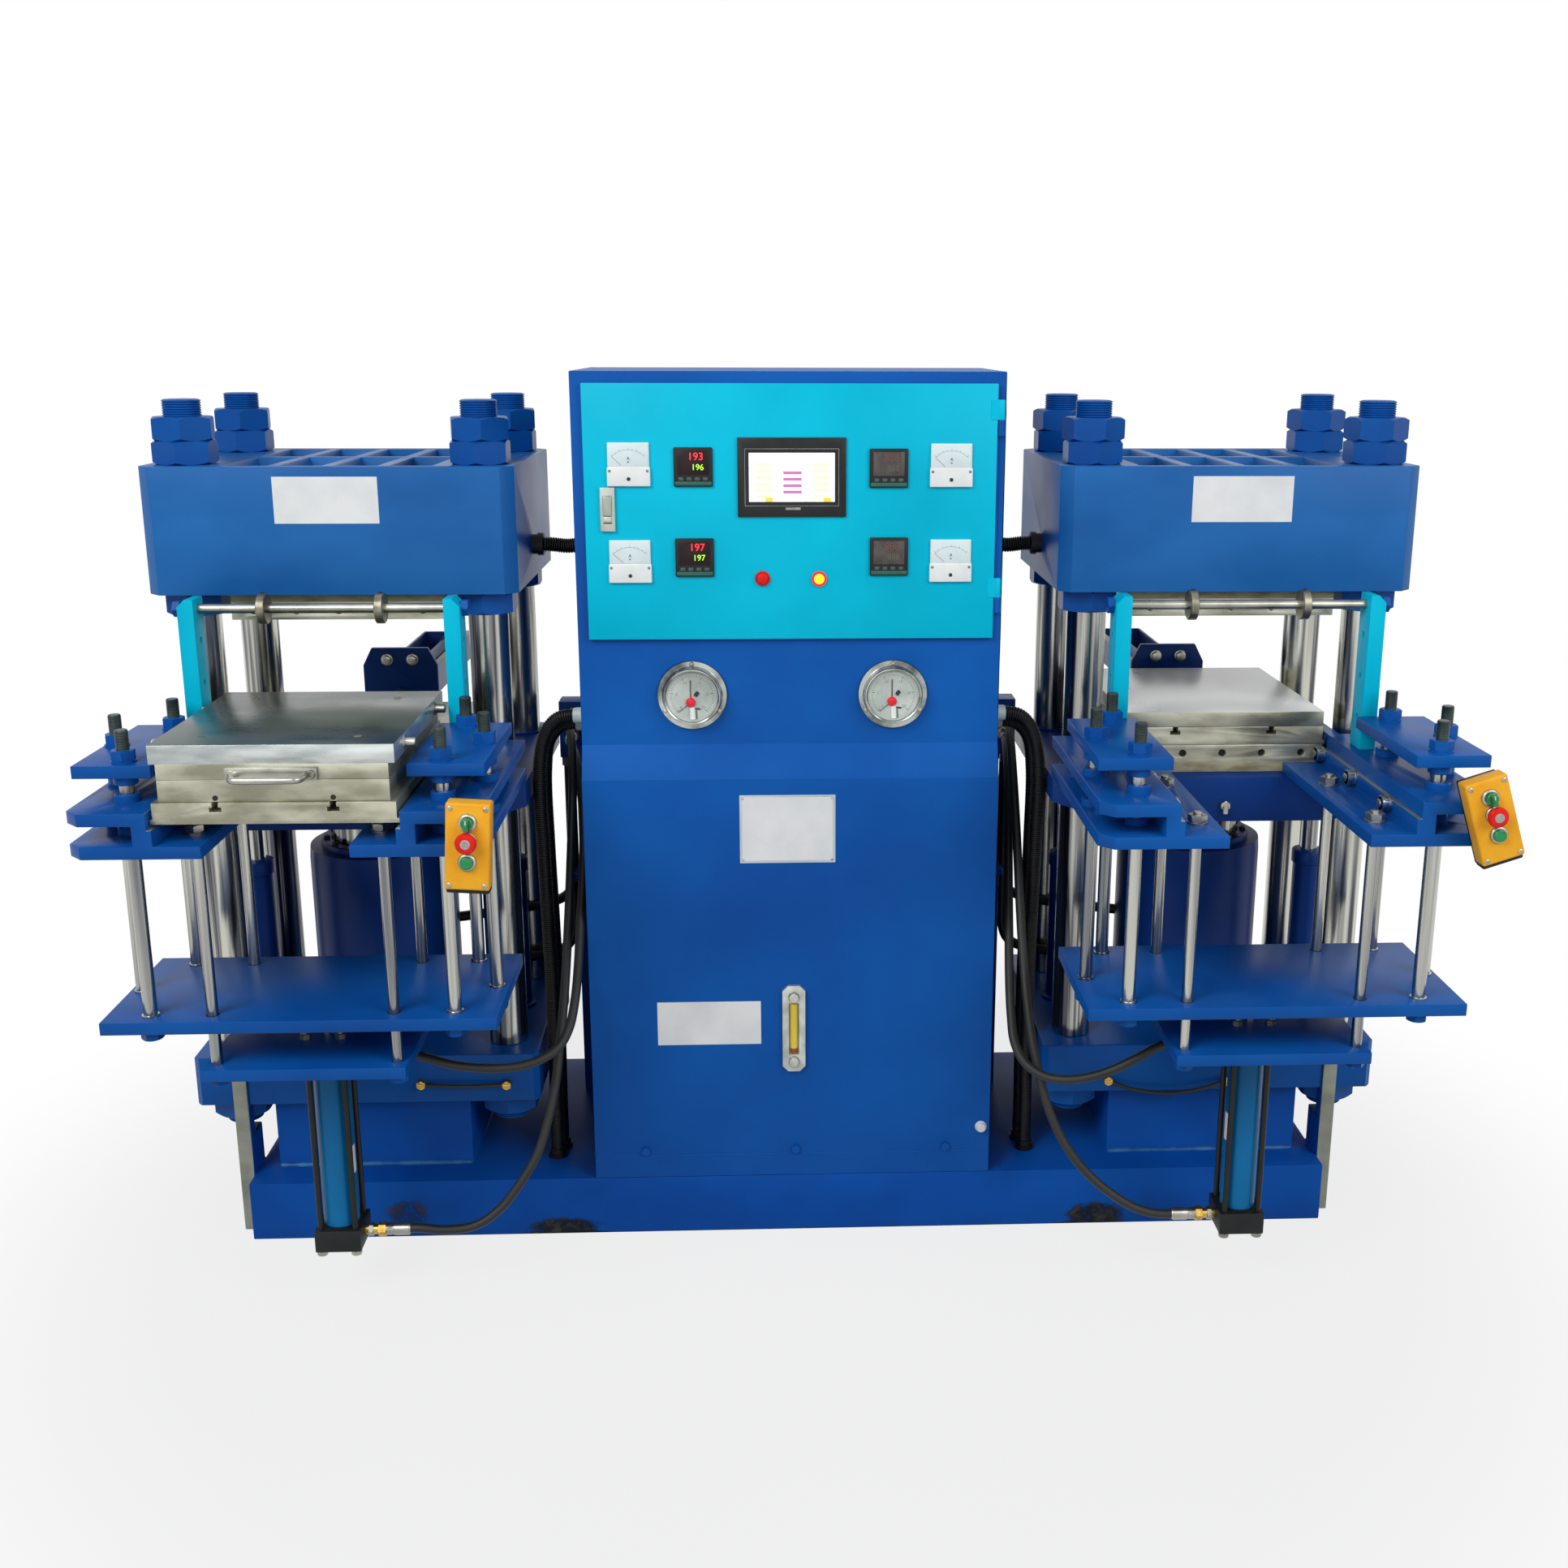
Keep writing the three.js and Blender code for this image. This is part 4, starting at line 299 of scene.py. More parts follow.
sideways = {1: "X", -1: "-X"}
hose_rubber = surface("hose_rubber", (36, 38, 36), (20, 22, 22), 0.5, grain=900, dent=0.3, shine=0.35)
plated_steel = surface("plated_steel", (178, 178, 168), (132, 132, 124), 0.3, 0.95, cloud=14, dent=0.04,
    gloss_spread=0.08)
brass = surface("brass", (205, 170, 88), (160, 124, 60), 0.3, 0.95, cloud=70)
for hose_name, route in hose_routes.items():
    side = hose_name.split("_")[0]
    inner = 1 if side == "left" else -1
    line = smooth_line(route)
    hose = tube_along(hose_rubber, line, hose_diameter)
    hose.name = hose.data.name = f"{hose_name}_hydraulic_hose"
    pick(hose)
    bpy.ops.object.shade_smooth()
    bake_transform(hose)
    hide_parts(f"{hose_name}_hose")
    port_x, port_y, port_z = route[0]
    along = [(0, 19), (1.5, 22.5), (12, 22.5), (13, 21.5), (17, 21.5), (18, 24), (21, 24.5), (45, 24.5),
        (46.5, 21.5), (49, 20.5)]
    neck = bar(brass, (port_x - inner * 0.078, port_y, port_z), sideways[inner], 0.030, 0.019)
    swivel = hexagon(brass, (port_x - inner * 0.052, port_y, port_z), sideways[inner], 0.015, 0.024)
    elbow = hexagon(plated_steel, (port_x - inner * 0.070, port_y, port_z), sideways[inner], 0.009, 0.022)
    ferrule = turned(plated_steel, (port_x - inner * 0.040, port_y, port_z), sideways[inner], along)
    together(f"{hose_name}_cylinder_fitting", f"platen_{side}", [neck, swivel, elbow, ferrule])
    far_x, far_y, far_z = route[-1]
    ferrule = turned(plated_steel, (far_x, far_y + 0.004, far_z), "-Y", [(s * 0.9, d) for s, d in along])
    swivel = hexagon(brass, (far_x, far_y - 0.002, far_z), "Y", 0.014, 0.026)
    socket = bar(plated_steel, (far_x, far_y + 0.010, far_z), "Y", 0.022, 0.0235)
    together(f"{hose_name}_unit_fitting", "frame", [ferrule, swivel, socket])

# Base. A welded platform of thick plate with a pedestal under each press, a skid behind for the
# hydraulic unit and a bare flat bar up each outer front. Brushed blue enamel, with rust and oil
# where the floor wets it.
def bevelled(node, finish, edge=0.002, merged=True, moved=None):
    """A copy of a plain solid with its loose triangles merged and its sharp edges rounded."""
    piece = linked("solid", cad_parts[node].data.copy())
    bpy.ops.mesh.customdata_custom_splitnormals_clear()
    for corner in piece.data.vertices if moved else ():
        corner.co = moved(corner.co)
    bpy.ops.object.mode_set(mode="EDIT")
    bpy.ops.mesh.select_all(action="SELECT")
    bpy.ops.mesh.remove_doubles(threshold=0.00002)
    if merged:
        bpy.ops.mesh.dissolve_limited(angle_limit=math.radians(0.6))
    bpy.ops.object.mode_set(mode="OBJECT")
    piece.data.materials.clear()
    piece.data.materials.append(finish)
    rounding = piece.modifiers.new("edge", "BEVEL")
    rounding.width, rounding.segments = edge, 2
    rounding.limit_method = "ANGLE"
    rounding.angle_limit = math.radians(35)
    rounding.use_clamp_overlap = False
    bpy.ops.object.modifier_apply(modifier="edge")
    return piece


def paint_faces(piece, finish, wanted):
    """Gives another finish to the faces whose middle and normal answer the question."""
    piece.data.materials.append(finish)
    for face in piece.data.polygons:
        if wanted(face.center, face.normal):
            face.material_index = len(piece.data.materials) - 1


def slab(finish, x0, x1, y0, y1, z0, z1, edge=0.0015, segments=2):
    """A plate or block with rounded edges."""
    bpy.ops.mesh.primitive_cube_add(size=1, location=((x0 + x1) / 2, (y0 + y1) / 2, (z0 + z1) / 2),
        scale=(abs(x1 - x0), abs(y1 - y0), abs(z1 - z0)))
    piece = bpy.context.active_object
    bpy.ops.object.transform_apply(location=True, rotation=True, scale=True)
    bpy.ops.object.mode_set(mode="EDIT")
    bpy.ops.mesh.select_all(action="SELECT")
    bpy.ops.mesh.bevel(offset=edge, segments=segments, affect="EDGES")
    bpy.ops.object.mode_set(mode="OBJECT")
    return shaped(piece, finish)


blue_enamel = surface("blue_enamel", (12, 88, 168), (9, 72, 148), 0.36, cloud=3, grain=220, shine=0.14)
base_enamel = surface("base_enamel", (11, 84, 174), (8, 67, 150), 0.46, cloud=(3, 3, 5), grain=160,
    dent=0.2, shine=0.1)
# Each patch of soil is where its middle is across and up, how far it reaches both ways, and how
# strong it is.
soil_patches = ((-0.47, 0.016, 0.095, 0.026, 0.62), (0.63, 0.020, 0.080, 0.038, 0.60),
    (-0.79, 0.050, 0.060, 0.050, 0.42), (0.0, 0.0, 1.3, 0.007, 0.34))
tree = base_enamel.node_tree
place = add_node(tree, "TexCoord").outputs["Object"]
blotch = add_node(tree, "TexNoise", {"Scale": 42.0, "Detail": 12.0, "Roughness": 0.68}, {"Vector": place})
soil = blotch.outputs["Fac"]
for x, z, reach_x, reach_z, weight in soil_patches:
    spot = add_node(tree, "Mapping", {"Location": (-x / reach_x, 0, -z / reach_z),
        "Scale": (1 / reach_x, 0.0, 1 / reach_z)}, {"Vector": place})
    far = add_node(tree, "VectorMath", fed={0: spot.outputs["Vector"]}, operation="LENGTH")
    near = add_node(tree, "MapRange", {"From Min": 0.35, "From Max": 1.3, "To Min": weight, "To Max": 0.0},
        {"Value": far.outputs["Value"]})
    near.interpolation_type = "SMOOTHSTEP"
    soil = add_node(tree, "Math", fed={0: soil, 1: near.outputs["Result"]},
        operation="ADD").outputs["Value"]
edge_of_soil = add_node(tree, "MapRange", {"From Min": 0.76, "From Max": 1.02}, {"Value": soil})
grime = add_node(tree, "ValToRGB", fed={"Fac": blotch.outputs["Fac"]})
for element, position, tone in zip(grime.color_ramp.elements, (0.5, 0.68), ((12, 24, 38), (70, 62, 58))):
    element.position, element.color = position, srgb(*tone)
soiled = add_node(tree, "Mix")
soiled.data_type = "RGBA"
tree.links.new(edge_of_soil.outputs["Result"], soiled.inputs[0])
tree.links.new(tree.nodes["tint"].outputs["Color"], soiled.inputs[6])
tree.links.new(grime.outputs["Color"], soiled.inputs[7])
tree.links.new(soiled.outputs[2], tree.nodes["Principled BSDF"].inputs["Base Color"])
weld_enamel = surface("weld_enamel", (60, 124, 176), (24, 84, 150), 0.4, cloud=30, dent=0.3, shine=0.3)
leg_steel = surface("leg_steel", (152, 156, 142), (118, 122, 112), 0.55, 0.35, cloud=(8, 8, 14),
    grain=(500, 500, 60), dent=0.25)
leg_inner_face = 1.1072
base = bevelled("base_frame", base_enamel, edge=0.003)
paint_faces(base, leg_steel, lambda middle, normal: abs(middle.x) > leg_inner_face)
press_x = 0.865
welds = [bar(weld_enamel, (x - 0.198, 0.0485, 0.1265), "X", 0.396, 0.011, 0.003, 12)
    for x in (-press_x, press_x)]
together("base", "frame", [base, *welds], ["base_frame"])

# Lower beams. Heavy cast blocks on the pedestals. Each carries the main cylinder and, at its sides, two
# slim cylinders that pull the platen down. A thin pilot line with brass elbows runs across the front face.
presses = (("left", -press_x, 1), ("right", press_x, -1))
half_width, press_front, press_middle, press_back = 0.347, 0.02, 0.285, 0.55
pull_reach = 0.268
# A darker copy of the frame's blue paint: painted shade for the parts that stand in the shade inside the
# presses, the cylinders, platens, bushes and slide brackets.
blue_enamel_painted_shade = surface("blue_enamel_painted_shade", (10, 58, 132), (7, 42, 104), 0.36, cloud=3, grain=220,
    shine=0.14)


def clipped(piece, planes, parted=True, closed=True):
    """Cuts a piece at planes, each a point and the normal of the side that goes."""
    pick(piece)
    bpy.ops.object.mode_set(mode="EDIT")
    for point, normal in planes:
        bpy.ops.mesh.select_all(action="SELECT")
        bpy.ops.mesh.bisect(plane_co=point, plane_no=normal, clear_outer=parted, use_fill=closed)
    bpy.ops.object.mode_set(mode="OBJECT")
    return piece


for side, x, inner in presses:
    block = slab(blue_enamel, x - half_width, x + half_width, press_front, press_back, 0.2773, 0.3803,
        0.003)
    corners = [((x + way * (half_width - 0.012), y, 0), (way, facing, 0)) for way in (-1, 1)
        for facing, y in ((-1, press_front), (1, press_back))]
    pulls = [turned(blue_enamel_painted_shade, (x + reach, press_middle, 0.379), "Z",
        [(0, 78), (8, 78), (10, 62), (310, 62), (312, 70), (336, 70), (339, 66), (342, 42)])
        for reach in (-pull_reach, pull_reach)]
    together(f"{side}_lower_casting", "frame", [clipped(block, corners), *pulls],
        [f"{side}_lower_beam"])
pilot_lines = {
    "left": [(-0.756, 0.0125, 0.320), (-0.700, 0.0085, 0.3175), (-0.640, 0.0085, 0.3165),
        (-0.583, 0.0125, 0.317)],
    "right": [(0.655, 0.0125, 0.305), (0.700, 0.0085, 0.288), (0.784, 0.0085, 0.276),
        (0.850, 0.0085, 0.285), (0.903, 0.0125, 0.300)]}
for side, route in pilot_lines.items():
    line = smooth_line(route, 6)
    solids = [tube_along(hose_rubber, line, 0.008, 3)]
    for x, y, z in (route[0], route[-1]):
        solids.append(hexagon(brass, (x, 0.0205, z), "-Y", 0.014, 0.017))
        solids.append(bar(brass, (x - 0.009, 0.0115, z), "X", 0.018, 0.012))
    together(f"{side}_pilot_line", "frame", solids)

# Columns. Ground and chromed steel bars, 78 mm, with a rolled thread at each end. Three thick nuts and a
# lock nut clamp the beams. Nuts and threads were painted over with the frame.
# Both chrome finishes carry painted reflection: their colour drifts in long dark streaks along each rod,
# standing in for the surroundings mirrored in the chrome. The columns' streaks are the stronger.
rod_chrome_painted_reflection = surface("rod_chrome_painted_reflection", (190, 190, 182), (118, 120, 124), 0.2, 1.0, cloud=(60, 60, 0.9),
    grain=(600, 600, 20), dent=0.04, gloss_spread=0.1, span=(0.36, 0.6))
column_chrome_painted_reflection = surface("hard_chrome", (198, 198, 188), (78, 80, 88), 0.2, 1.0, cloud=(46, 46, 0.7),
    grain=(600, 600, 20), dent=0.04, gloss_spread=0.1, span=(0.41, 0.56))


def thread(finish, place, length, diameter, pitch):
    """An upright threaded end, its ridges cut as rings."""
    root = diameter * 0.93
    stations, along = [(0, root)], 0
    while along + pitch <= length:
        stations += [(along + pitch * 0.2, diameter), (along + pitch * 0.6, diameter),
            (along + pitch * 0.9, root)]
        along += pitch
    stations += [(length - 0.001, root), (length, diameter * 0.86)]
    return turned(finish, place, "Z", stations, per_metre=1)


corner_places = {
    "left_front": (-0.277, 0.102),
    "left_rear": (-0.277, 0.468),
    "right_front": (0.277, 0.102),
    "right_rear": (0.277, 0.468)}
for side, x, inner in presses:
    for corner, (dx, y) in corner_places.items():
        cx = x + dx
        shank = turned(column_chrome_painted_reflection, (cx, y, 0.3806), "Z", [(0, 74), (2, 78), (898, 78), (899.4, 76)])
        foot = thread(blue_enamel, (cx, y, 0.215), 0.018, 0.070, 0.0045)
        stub = thread(blue_enamel, (cx, y, 1.6516), 0.032, 0.070, 0.0045)
        nuts = [hexagon(blue_enamel, (cx, y, z), "Z", 0.044, 0.105, math.radians(turn))
            for z, turn in ((0.233, 0), (1.279, 0), (1.5636, 0), (1.6076, 12))]
        together(f"{side}_column_{corner}_turned", "frame", [shank, foot, stub, *nuts],
            [f"{side}_column_{corner}"])

# Upper beams. Thick castings with open ribbed pockets on top and cut corners, closed by the column nuts.
# The cable gland of the heaters sits in the inner side. A blank white plate is stuck on the front.
# A lighter copy of the frame's blue paint for the upper beams: painted sheen, for the gloss and light that
# the high beams catch.
beam_enamel_painted_sheen = surface("beam_enamel_painted_sheen", (36, 106, 176), (24, 90, 158), 0.38, cloud=(3, 3, 5), grain=220,
    shine=0.14)
blank_white = surface("blank_plate", (232, 234, 234), (218, 221, 224), 0.4, cloud=12, dent=0.03, shine=0.3)
black_nylon = surface("black_nylon", (20, 20, 22), (12, 12, 14), 0.42, cloud=40, dent=0.15, shine=0.3)
corner_cut, sharp_corner = 0.024, 0.004
cable_y, cable_z = 0.26, 1.39
for side, x, inner in presses:
    beam_low, beam_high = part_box(f"{side}_upper_beam")
    inner_face = beam_high[0] if inner > 0 else beam_low[0]

    def sharpened(spot):
        """Draws the cut of the two corners beside the cabinet nearly shut."""
        moved_spot = spot.copy()
        for end, way in ((beam_low[1], 1), (beam_high[1], -1)):
            if abs(spot.y - end) < 1e-4 and abs(spot.x - (inner_face - inner * corner_cut)) < 2e-4:
                moved_spot.x = inner_face - inner * sharp_corner
            if abs(spot.x - inner_face) < 1e-4 and abs(spot.y - (end + way * corner_cut)) < 2e-4:
                moved_spot.y = end + way * sharp_corner
        return moved_spot

    casting = bevelled(f"{side}_upper_beam", beam_enamel_painted_sheen, edge=0.0016, moved=sharpened)
    together(f"{side}_upper_casting", "frame", [casting], [f"{side}_upper_beam"])
    face = x + inner * half_width
    gland = turned(black_nylon, (face, cable_y, cable_z), sideways[inner],
        [(0, 40), (10, 40), (10.5, 46), (21.5, 46), (23.5, 40), (24, 34)])
    together(f"{side}_cable_gland", "frame", [gland])
    together(f"{side}_beam_plate", "frame",
        [slab(blank_white, x - 0.097, x + 0.097, 0.0192, 0.0204, 1.458, 1.545, 0.0003, 1)])

# Main cylinders. Forged steel barrels, turned and painted, stand on the lower beams. A gland ring on top,
# held by twelve black screws, guides the chromed ram.
bolt_circle = 0.1135
for side, x, inner in presses:
    barrel = turned(blue_enamel_painted_shade, (x, press_middle, 0.3806), "Z",
        [(0, 294), (3, 300), (355, 300), (380, 296), (381, 252), (392, 250), (394, 246), (394, 210),
        (388, 202)], 64)
    screws = [turned(black_nylon, (x + bolt_circle * math.cos(a), press_middle + bolt_circle * math.sin(a),
        0.7735), "Z", [(0, 14), (5, 14), (6, 12), (6, 7), (3, 7)], 12) for a in [math.radians(30 * i + 15)
        for i in range(12)]]
    together(f"{side}_cylinder_barrel", "frame", [barrel, *screws],
        [f"{side}_main_cylinder"])

# Moving platens. Each is a keeled casting that rides on the four columns in flanged bushes. The chromed ram
# pushes it up from below and two chromed rods pull it down.
for side, x, inner in presses:
    body = slab(blue_enamel_painted_shade, x - half_width, x + half_width, press_front, press_back, 0.8603, 0.9533,
        0.0025)
    clipped(body, [((x + way * 0.215, 0, 0.8603), (way * 0.045, 0, -0.132)) for way in (-1, 1)])
    boss = turned(blue_enamel_painted_shade, (x, press_middle, 0.8353), "Z", [(0, 272), (3, 280), (26, 280)], 64)
    ram = turned(column_chrome_painted_reflection, (x, press_middle, 0.4346), "Z", [(0, 194), (4, 200), (401.5, 200)], 64)
    solids = [body, boss, ram]
    for reach in (-pull_reach, pull_reach):
        solids.append(bar(rod_chrome_painted_reflection, (x + reach, press_middle, 0.4313), "Z", 0.475, 0.036))
        solids.append(hexagon(blue_enamel_painted_shade, (x + reach, press_middle, 0.880), "Z", 0.026, 0.055))
    for dx, y in corner_places.values():
        solids.append(turned(blue_enamel_painted_shade, (x + dx, y, 0.9531), "Z",
            [(0, 96), (3.8, 96), (5, 94), (5, 79.5), (3, 79.5)]))
    if side == "right":
        solids += [
            hexagon(plated_steel, (x, 0.0205, 0.8955), "-Y", 0.012, 0.018),
            bar(plated_steel, (x, 0.010, 0.8955), "-Z", 0.016, 0.012)]
    together(f"{side}_platen_casting", f"platen_{side}", solids,
        [f"{side}_moving_platen"])

# Hot plates. Ground steel plates drilled from the front for heater rods, with a pale insulation board
# between plate and press. The heater leads leave the plates at the back.
plate_steel = surface("plate_steel", (184, 184, 166), (142, 140, 122), 0.36, 0.7, cloud=(9, 5, 22),
    grain=(60, 900, 900), gloss_spread=0.2, span=(0.38, 0.6))
insulation_board = surface("insulation_board", (184, 178, 146), (142, 132, 100), 0.85, cloud=(20, 20, 60),
    grain=(200, 200, 900), dent=0.3, shine=0.2)
# A near-black finish that stands for the shade in holes and gaps: painted shade, laid on dark discs and
# strips where holes and gaps are not cut.
hole_painted_shade = surface("hole_painted_shade", (26, 24, 22), (16, 15, 14), 0.8, cloud=30)
for side, x, inner in presses:
    for level, seam, board_above, body in (("upper", 1.305, True, "frame"),
            ("lower", 0.9756, False, f"platen_{side}")):
        plate = bevelled(f"{side}_{level}_hot_plate", plate_steel, edge=0.0012)
        clipped(plate, [((0, 0, seam), (0, 0, 1))], parted=False, closed=False)
        paint_faces(plate, insulation_board,
            lambda middle, normal, s=seam, up=board_above: (middle.z > s) == up)
        middle_z = seam - 0.017 if board_above else seam + 0.017
        rods = [turned(black_nylon, (x + (i - 2) * 0.08, 0.075, middle_z), "-Y",
            [(0, 13), (10, 13), (10, 5), (12, 5)], 16) for i in range(5)]
        together(f"{side}_{level}_heater", body, [plate, *rods],
            [f"{side}_{level}_hot_plate"])

# Slide rails. A pair of channel irons, milled on the inner lip, runs forward from each platen. Ball
# bearings on short bolts carry the carriage, and painted collars guide the lift rods through both flanges.
front_row, middle_row, rear_row = -0.372, -0.255, -0.125
rod_places = ((0.265, front_row), (0.320, middle_row), (0.265, rear_row))
bearing_z, lip_reach, lip_z = 0.9946, 0.2095, 1.003
bearing = [(0, 24), (1.5, 30.5), (4.5, 30.5), (5.5, 28.5), (12.5, 28.5), (13.5, 30.5), (17.5, 30.5),
    (18.5, 25), (18.5, 17), (21.5, 17), (22.5, 14)]
guide_collar = [(0, 42), (12, 42), (14, 38), (14, 25.5), (10, 25.5)]
for side, x, _ in presses:
    for hand, way in (("left", -1), ("right", 1)):
        rail = bevelled(f"{side}_rail_{hand}", blue_enamel, edge=0.0014)
        paint_faces(rail, plate_steel,
            lambda middle, normal, press_x=x: abs(middle.x - press_x) < lip_reach and middle.z > lip_z
            and normal.z > 0.5)
        solids = [rail]
        for y in (-0.326, -0.146, 0.036):
            solids += [
                turned(plated_steel, (x + way * 0.2005, y, bearing_z), sideways[-way], bearing),
                hexagon(plated_steel, (x + way * 0.2328, y, bearing_z), sideways[way], 0.009, 0.024)]
        for dx, y in rod_places:
            for flange_z in (0.9755, 1.0325):
                solids.append(turned(blue_enamel, (x + way * dx, y, flange_z), "Z", guide_collar))
        together(f"{side}_{hand}_slide_rail", f"platen_{side}", solids,
            [f"{side}_rail_{hand}"])

# Crossbars. Two drilled flat bars in the door's bright blue stand on the rails and hold a chromed rod. Two
# steel set collars on the rod stop the mould's upper half.
bright_enamel = surface("bright_enamel", (2, 196, 228), (2, 180, 212), 0.42, cloud=3, grain=260, dent=0.12,
    shine=0.1)
collar_steel = surface("collar_steel", (146, 142, 124), (100, 96, 84), 0.34, 0.85, cloud=30)
stop_y, stop_z, upright_foot, upright_top = -0.0575, 1.3109, 1.0329, 1.3309
set_collar = [(0, 53), (1.5, 57), (14.5, 57), (16, 53)]
for side, x, _ in presses:
    solids = [bar(plated_steel, (x - 0.2555, stop_y, stop_z), "X", 0.511, 0.018)]
    for way in (-1, 1):
        upright = slab(bright_enamel, x + way * 0.226, x + way * 0.256, -0.085, -0.030, upright_foot,
            upright_top, 0.0012)
        clipped(upright, [((x + way * 0.242, 0, upright_top), (way, 0, 1))])
        for z in (1.0929, 1.1729, 1.2529):
            cut_by(upright, turned(hole_painted_shade, (x + way * 0.216, stop_y, z), sideways[way],
                [(0, 12), (50, 12)], 20))
        solids += [
            upright,
            hexagon(blue_enamel, (x + way * 0.256, stop_y, stop_z), sideways[way], 0.013, 0.028),
            turned(collar_steel, (x + way * 0.107 - 0.008, stop_y, stop_z), "X", set_collar),
            bar(black_nylon, (x + way * 0.107, stop_y, 1.3384), "Z", 0.002, 0.008, 0.0005, 12)]
    together(f"{side}_mould_stop", f"platen_{side}", solids, [f"{side}_crossbar"])

# Ejector frames. A thick lift plate carries six chromed rods. Their shouldered upper ends hold two wings
# that raise the mould by its pins. Every nut sits on a washer and was painted in place.
stud_steel = surface("stud_steel", (70, 82, 78), (38, 48, 52), 0.4, 0.7, cloud=30)
lift_low, lift_high, wing_low, wing_high, wing_end = 0.6176, 0.6406, 1.0786, 1.1006, 0.343
ejector_y = -0.235
lift_rods = [(way * dx, y) for way in (-1, 1) for dx, y in rod_places]
hanger_rods = [(way * 0.158, y) for way in (-1, 1) for y in (front_row, rear_row)]
rod_shoulder = [(0, 30), (3, 30), (4, 24.5)]
wing_collar = [(0, 36), (1.5, 40), (16.2, 40)]
wide_washer = [(0, 42), (3, 42), (3.5, 40)]
for side, x, _ in presses:
    solids = [slab(blue_enamel, x - wing_end, x + wing_end, -0.405, -0.090, lift_low, lift_high, 0.0012)]
    for way in (-1, 1):
        solids.append(slab(blue_enamel, x + way * 0.212, x + way * wing_end, -0.402, -0.094, wing_low,
            wing_high, 0.0012))
    for dx, y in lift_rods:
        rod_x = x + dx
        solids += [
            bar(rod_chrome_painted_reflection, (rod_x, y, 0.6400), "Z", 0.4390, 0.024),
            turned(rod_chrome_painted_reflection, (rod_x, y, 0.6404), "Z", rod_shoulder),
            turned(blue_enamel, (rod_x, y, 1.0626), "Z", wing_collar),
            turned(blue_enamel, (rod_x, y, 1.1004), "Z", wide_washer),
            hexagon(blue_enamel, (rod_x, y, 1.1036), "Z", 0.0185, 0.036, math.radians(10 + 900 * dx)),
            thread(stud_steel, (rod_x, y, 1.1216), 0.035, 0.022, 0.0028),
            turned(blue_enamel, (rod_x, y, 0.6178), "-Z", wide_washer),
            hexagon(blue_enamel, (rod_x, y, 0.6148), "-Z", 0.0162, 0.034, math.radians(20 + 700 * dx))]
    for dx, y in hanger_rods:
        # Dark discs on the lift plate stand for the wide holes of the hanger rods: painted shade, as the
        # plate is not cut.
        solids.append(turned(hole_painted_shade, (x + dx, y, 0.6397), "Z", [(0, 24.5), (1.2, 24.5)], 32))
    solids.append(bar(rod_chrome_painted_reflection, (x, ejector_y, 0.2776), "Z", 0.341, 0.032))
    solids.append(hexagon(plated_steel, (x, ejector_y, 0.6030), "Z", 0.015, 0.046))
    together(f"{side}_lift_frame", f"ejector_{side}", solids, [f"{side}_ejector_frame"])

# Ejector hangers. A plate hangs on four chromed rods from the lower flanges of the rails and holds the
# ejector cylinder. The rods pass through wide holes in the lift plate.
tie_rods = [(dx, dy) for dx in (-0.032, 0.032) for dy in (-0.032, 0.032)]
small_washer = [(0, 36), (2.5, 36), (3, 34)]
for side, x, _ in presses:
    solids = [slab(blue_enamel, x - 0.178, x + 0.178, -0.402, -0.095, 0.5256, 0.5476, 0.0012)]
    for dx, y in hanger_rods:
        rod_x = x + dx
        solids += [
            bar(rod_chrome_painted_reflection, (rod_x, y, 0.5470), "Z", 0.4066, 0.020),
            bar(plated_steel, (rod_x, y, 0.9759), "Z", 0.020, 0.016),
            turned(plated_steel, (rod_x, y, 0.9758), "Z", small_washer),
            hexagon(plated_steel, (rod_x, y, 0.9788), "Z", 0.0121, 0.030, math.radians(15 + 400 * dx)),
            turned(blue_enamel, (rod_x, y, 0.5258), "-Z", small_washer),
            hexagon(blue_enamel, (rod_x, y, 0.5230), "-Z", 0.0124, 0.030, math.radians(15 + 500 * dx))]
    for dx, dy in tie_rods:
        solids.append(hexagon(plated_steel, (x + dx, ejector_y + dy, 0.5472), "Z", 0.010, 0.018))
        solids.append(bar(plated_steel, (x + dx, ejector_y + dy, 0.5572), "Z", 0.005, 0.011))
    together(f"{side}_hanger", f"platen_{side}", solids, [f"{side}_ejector_hanger"])

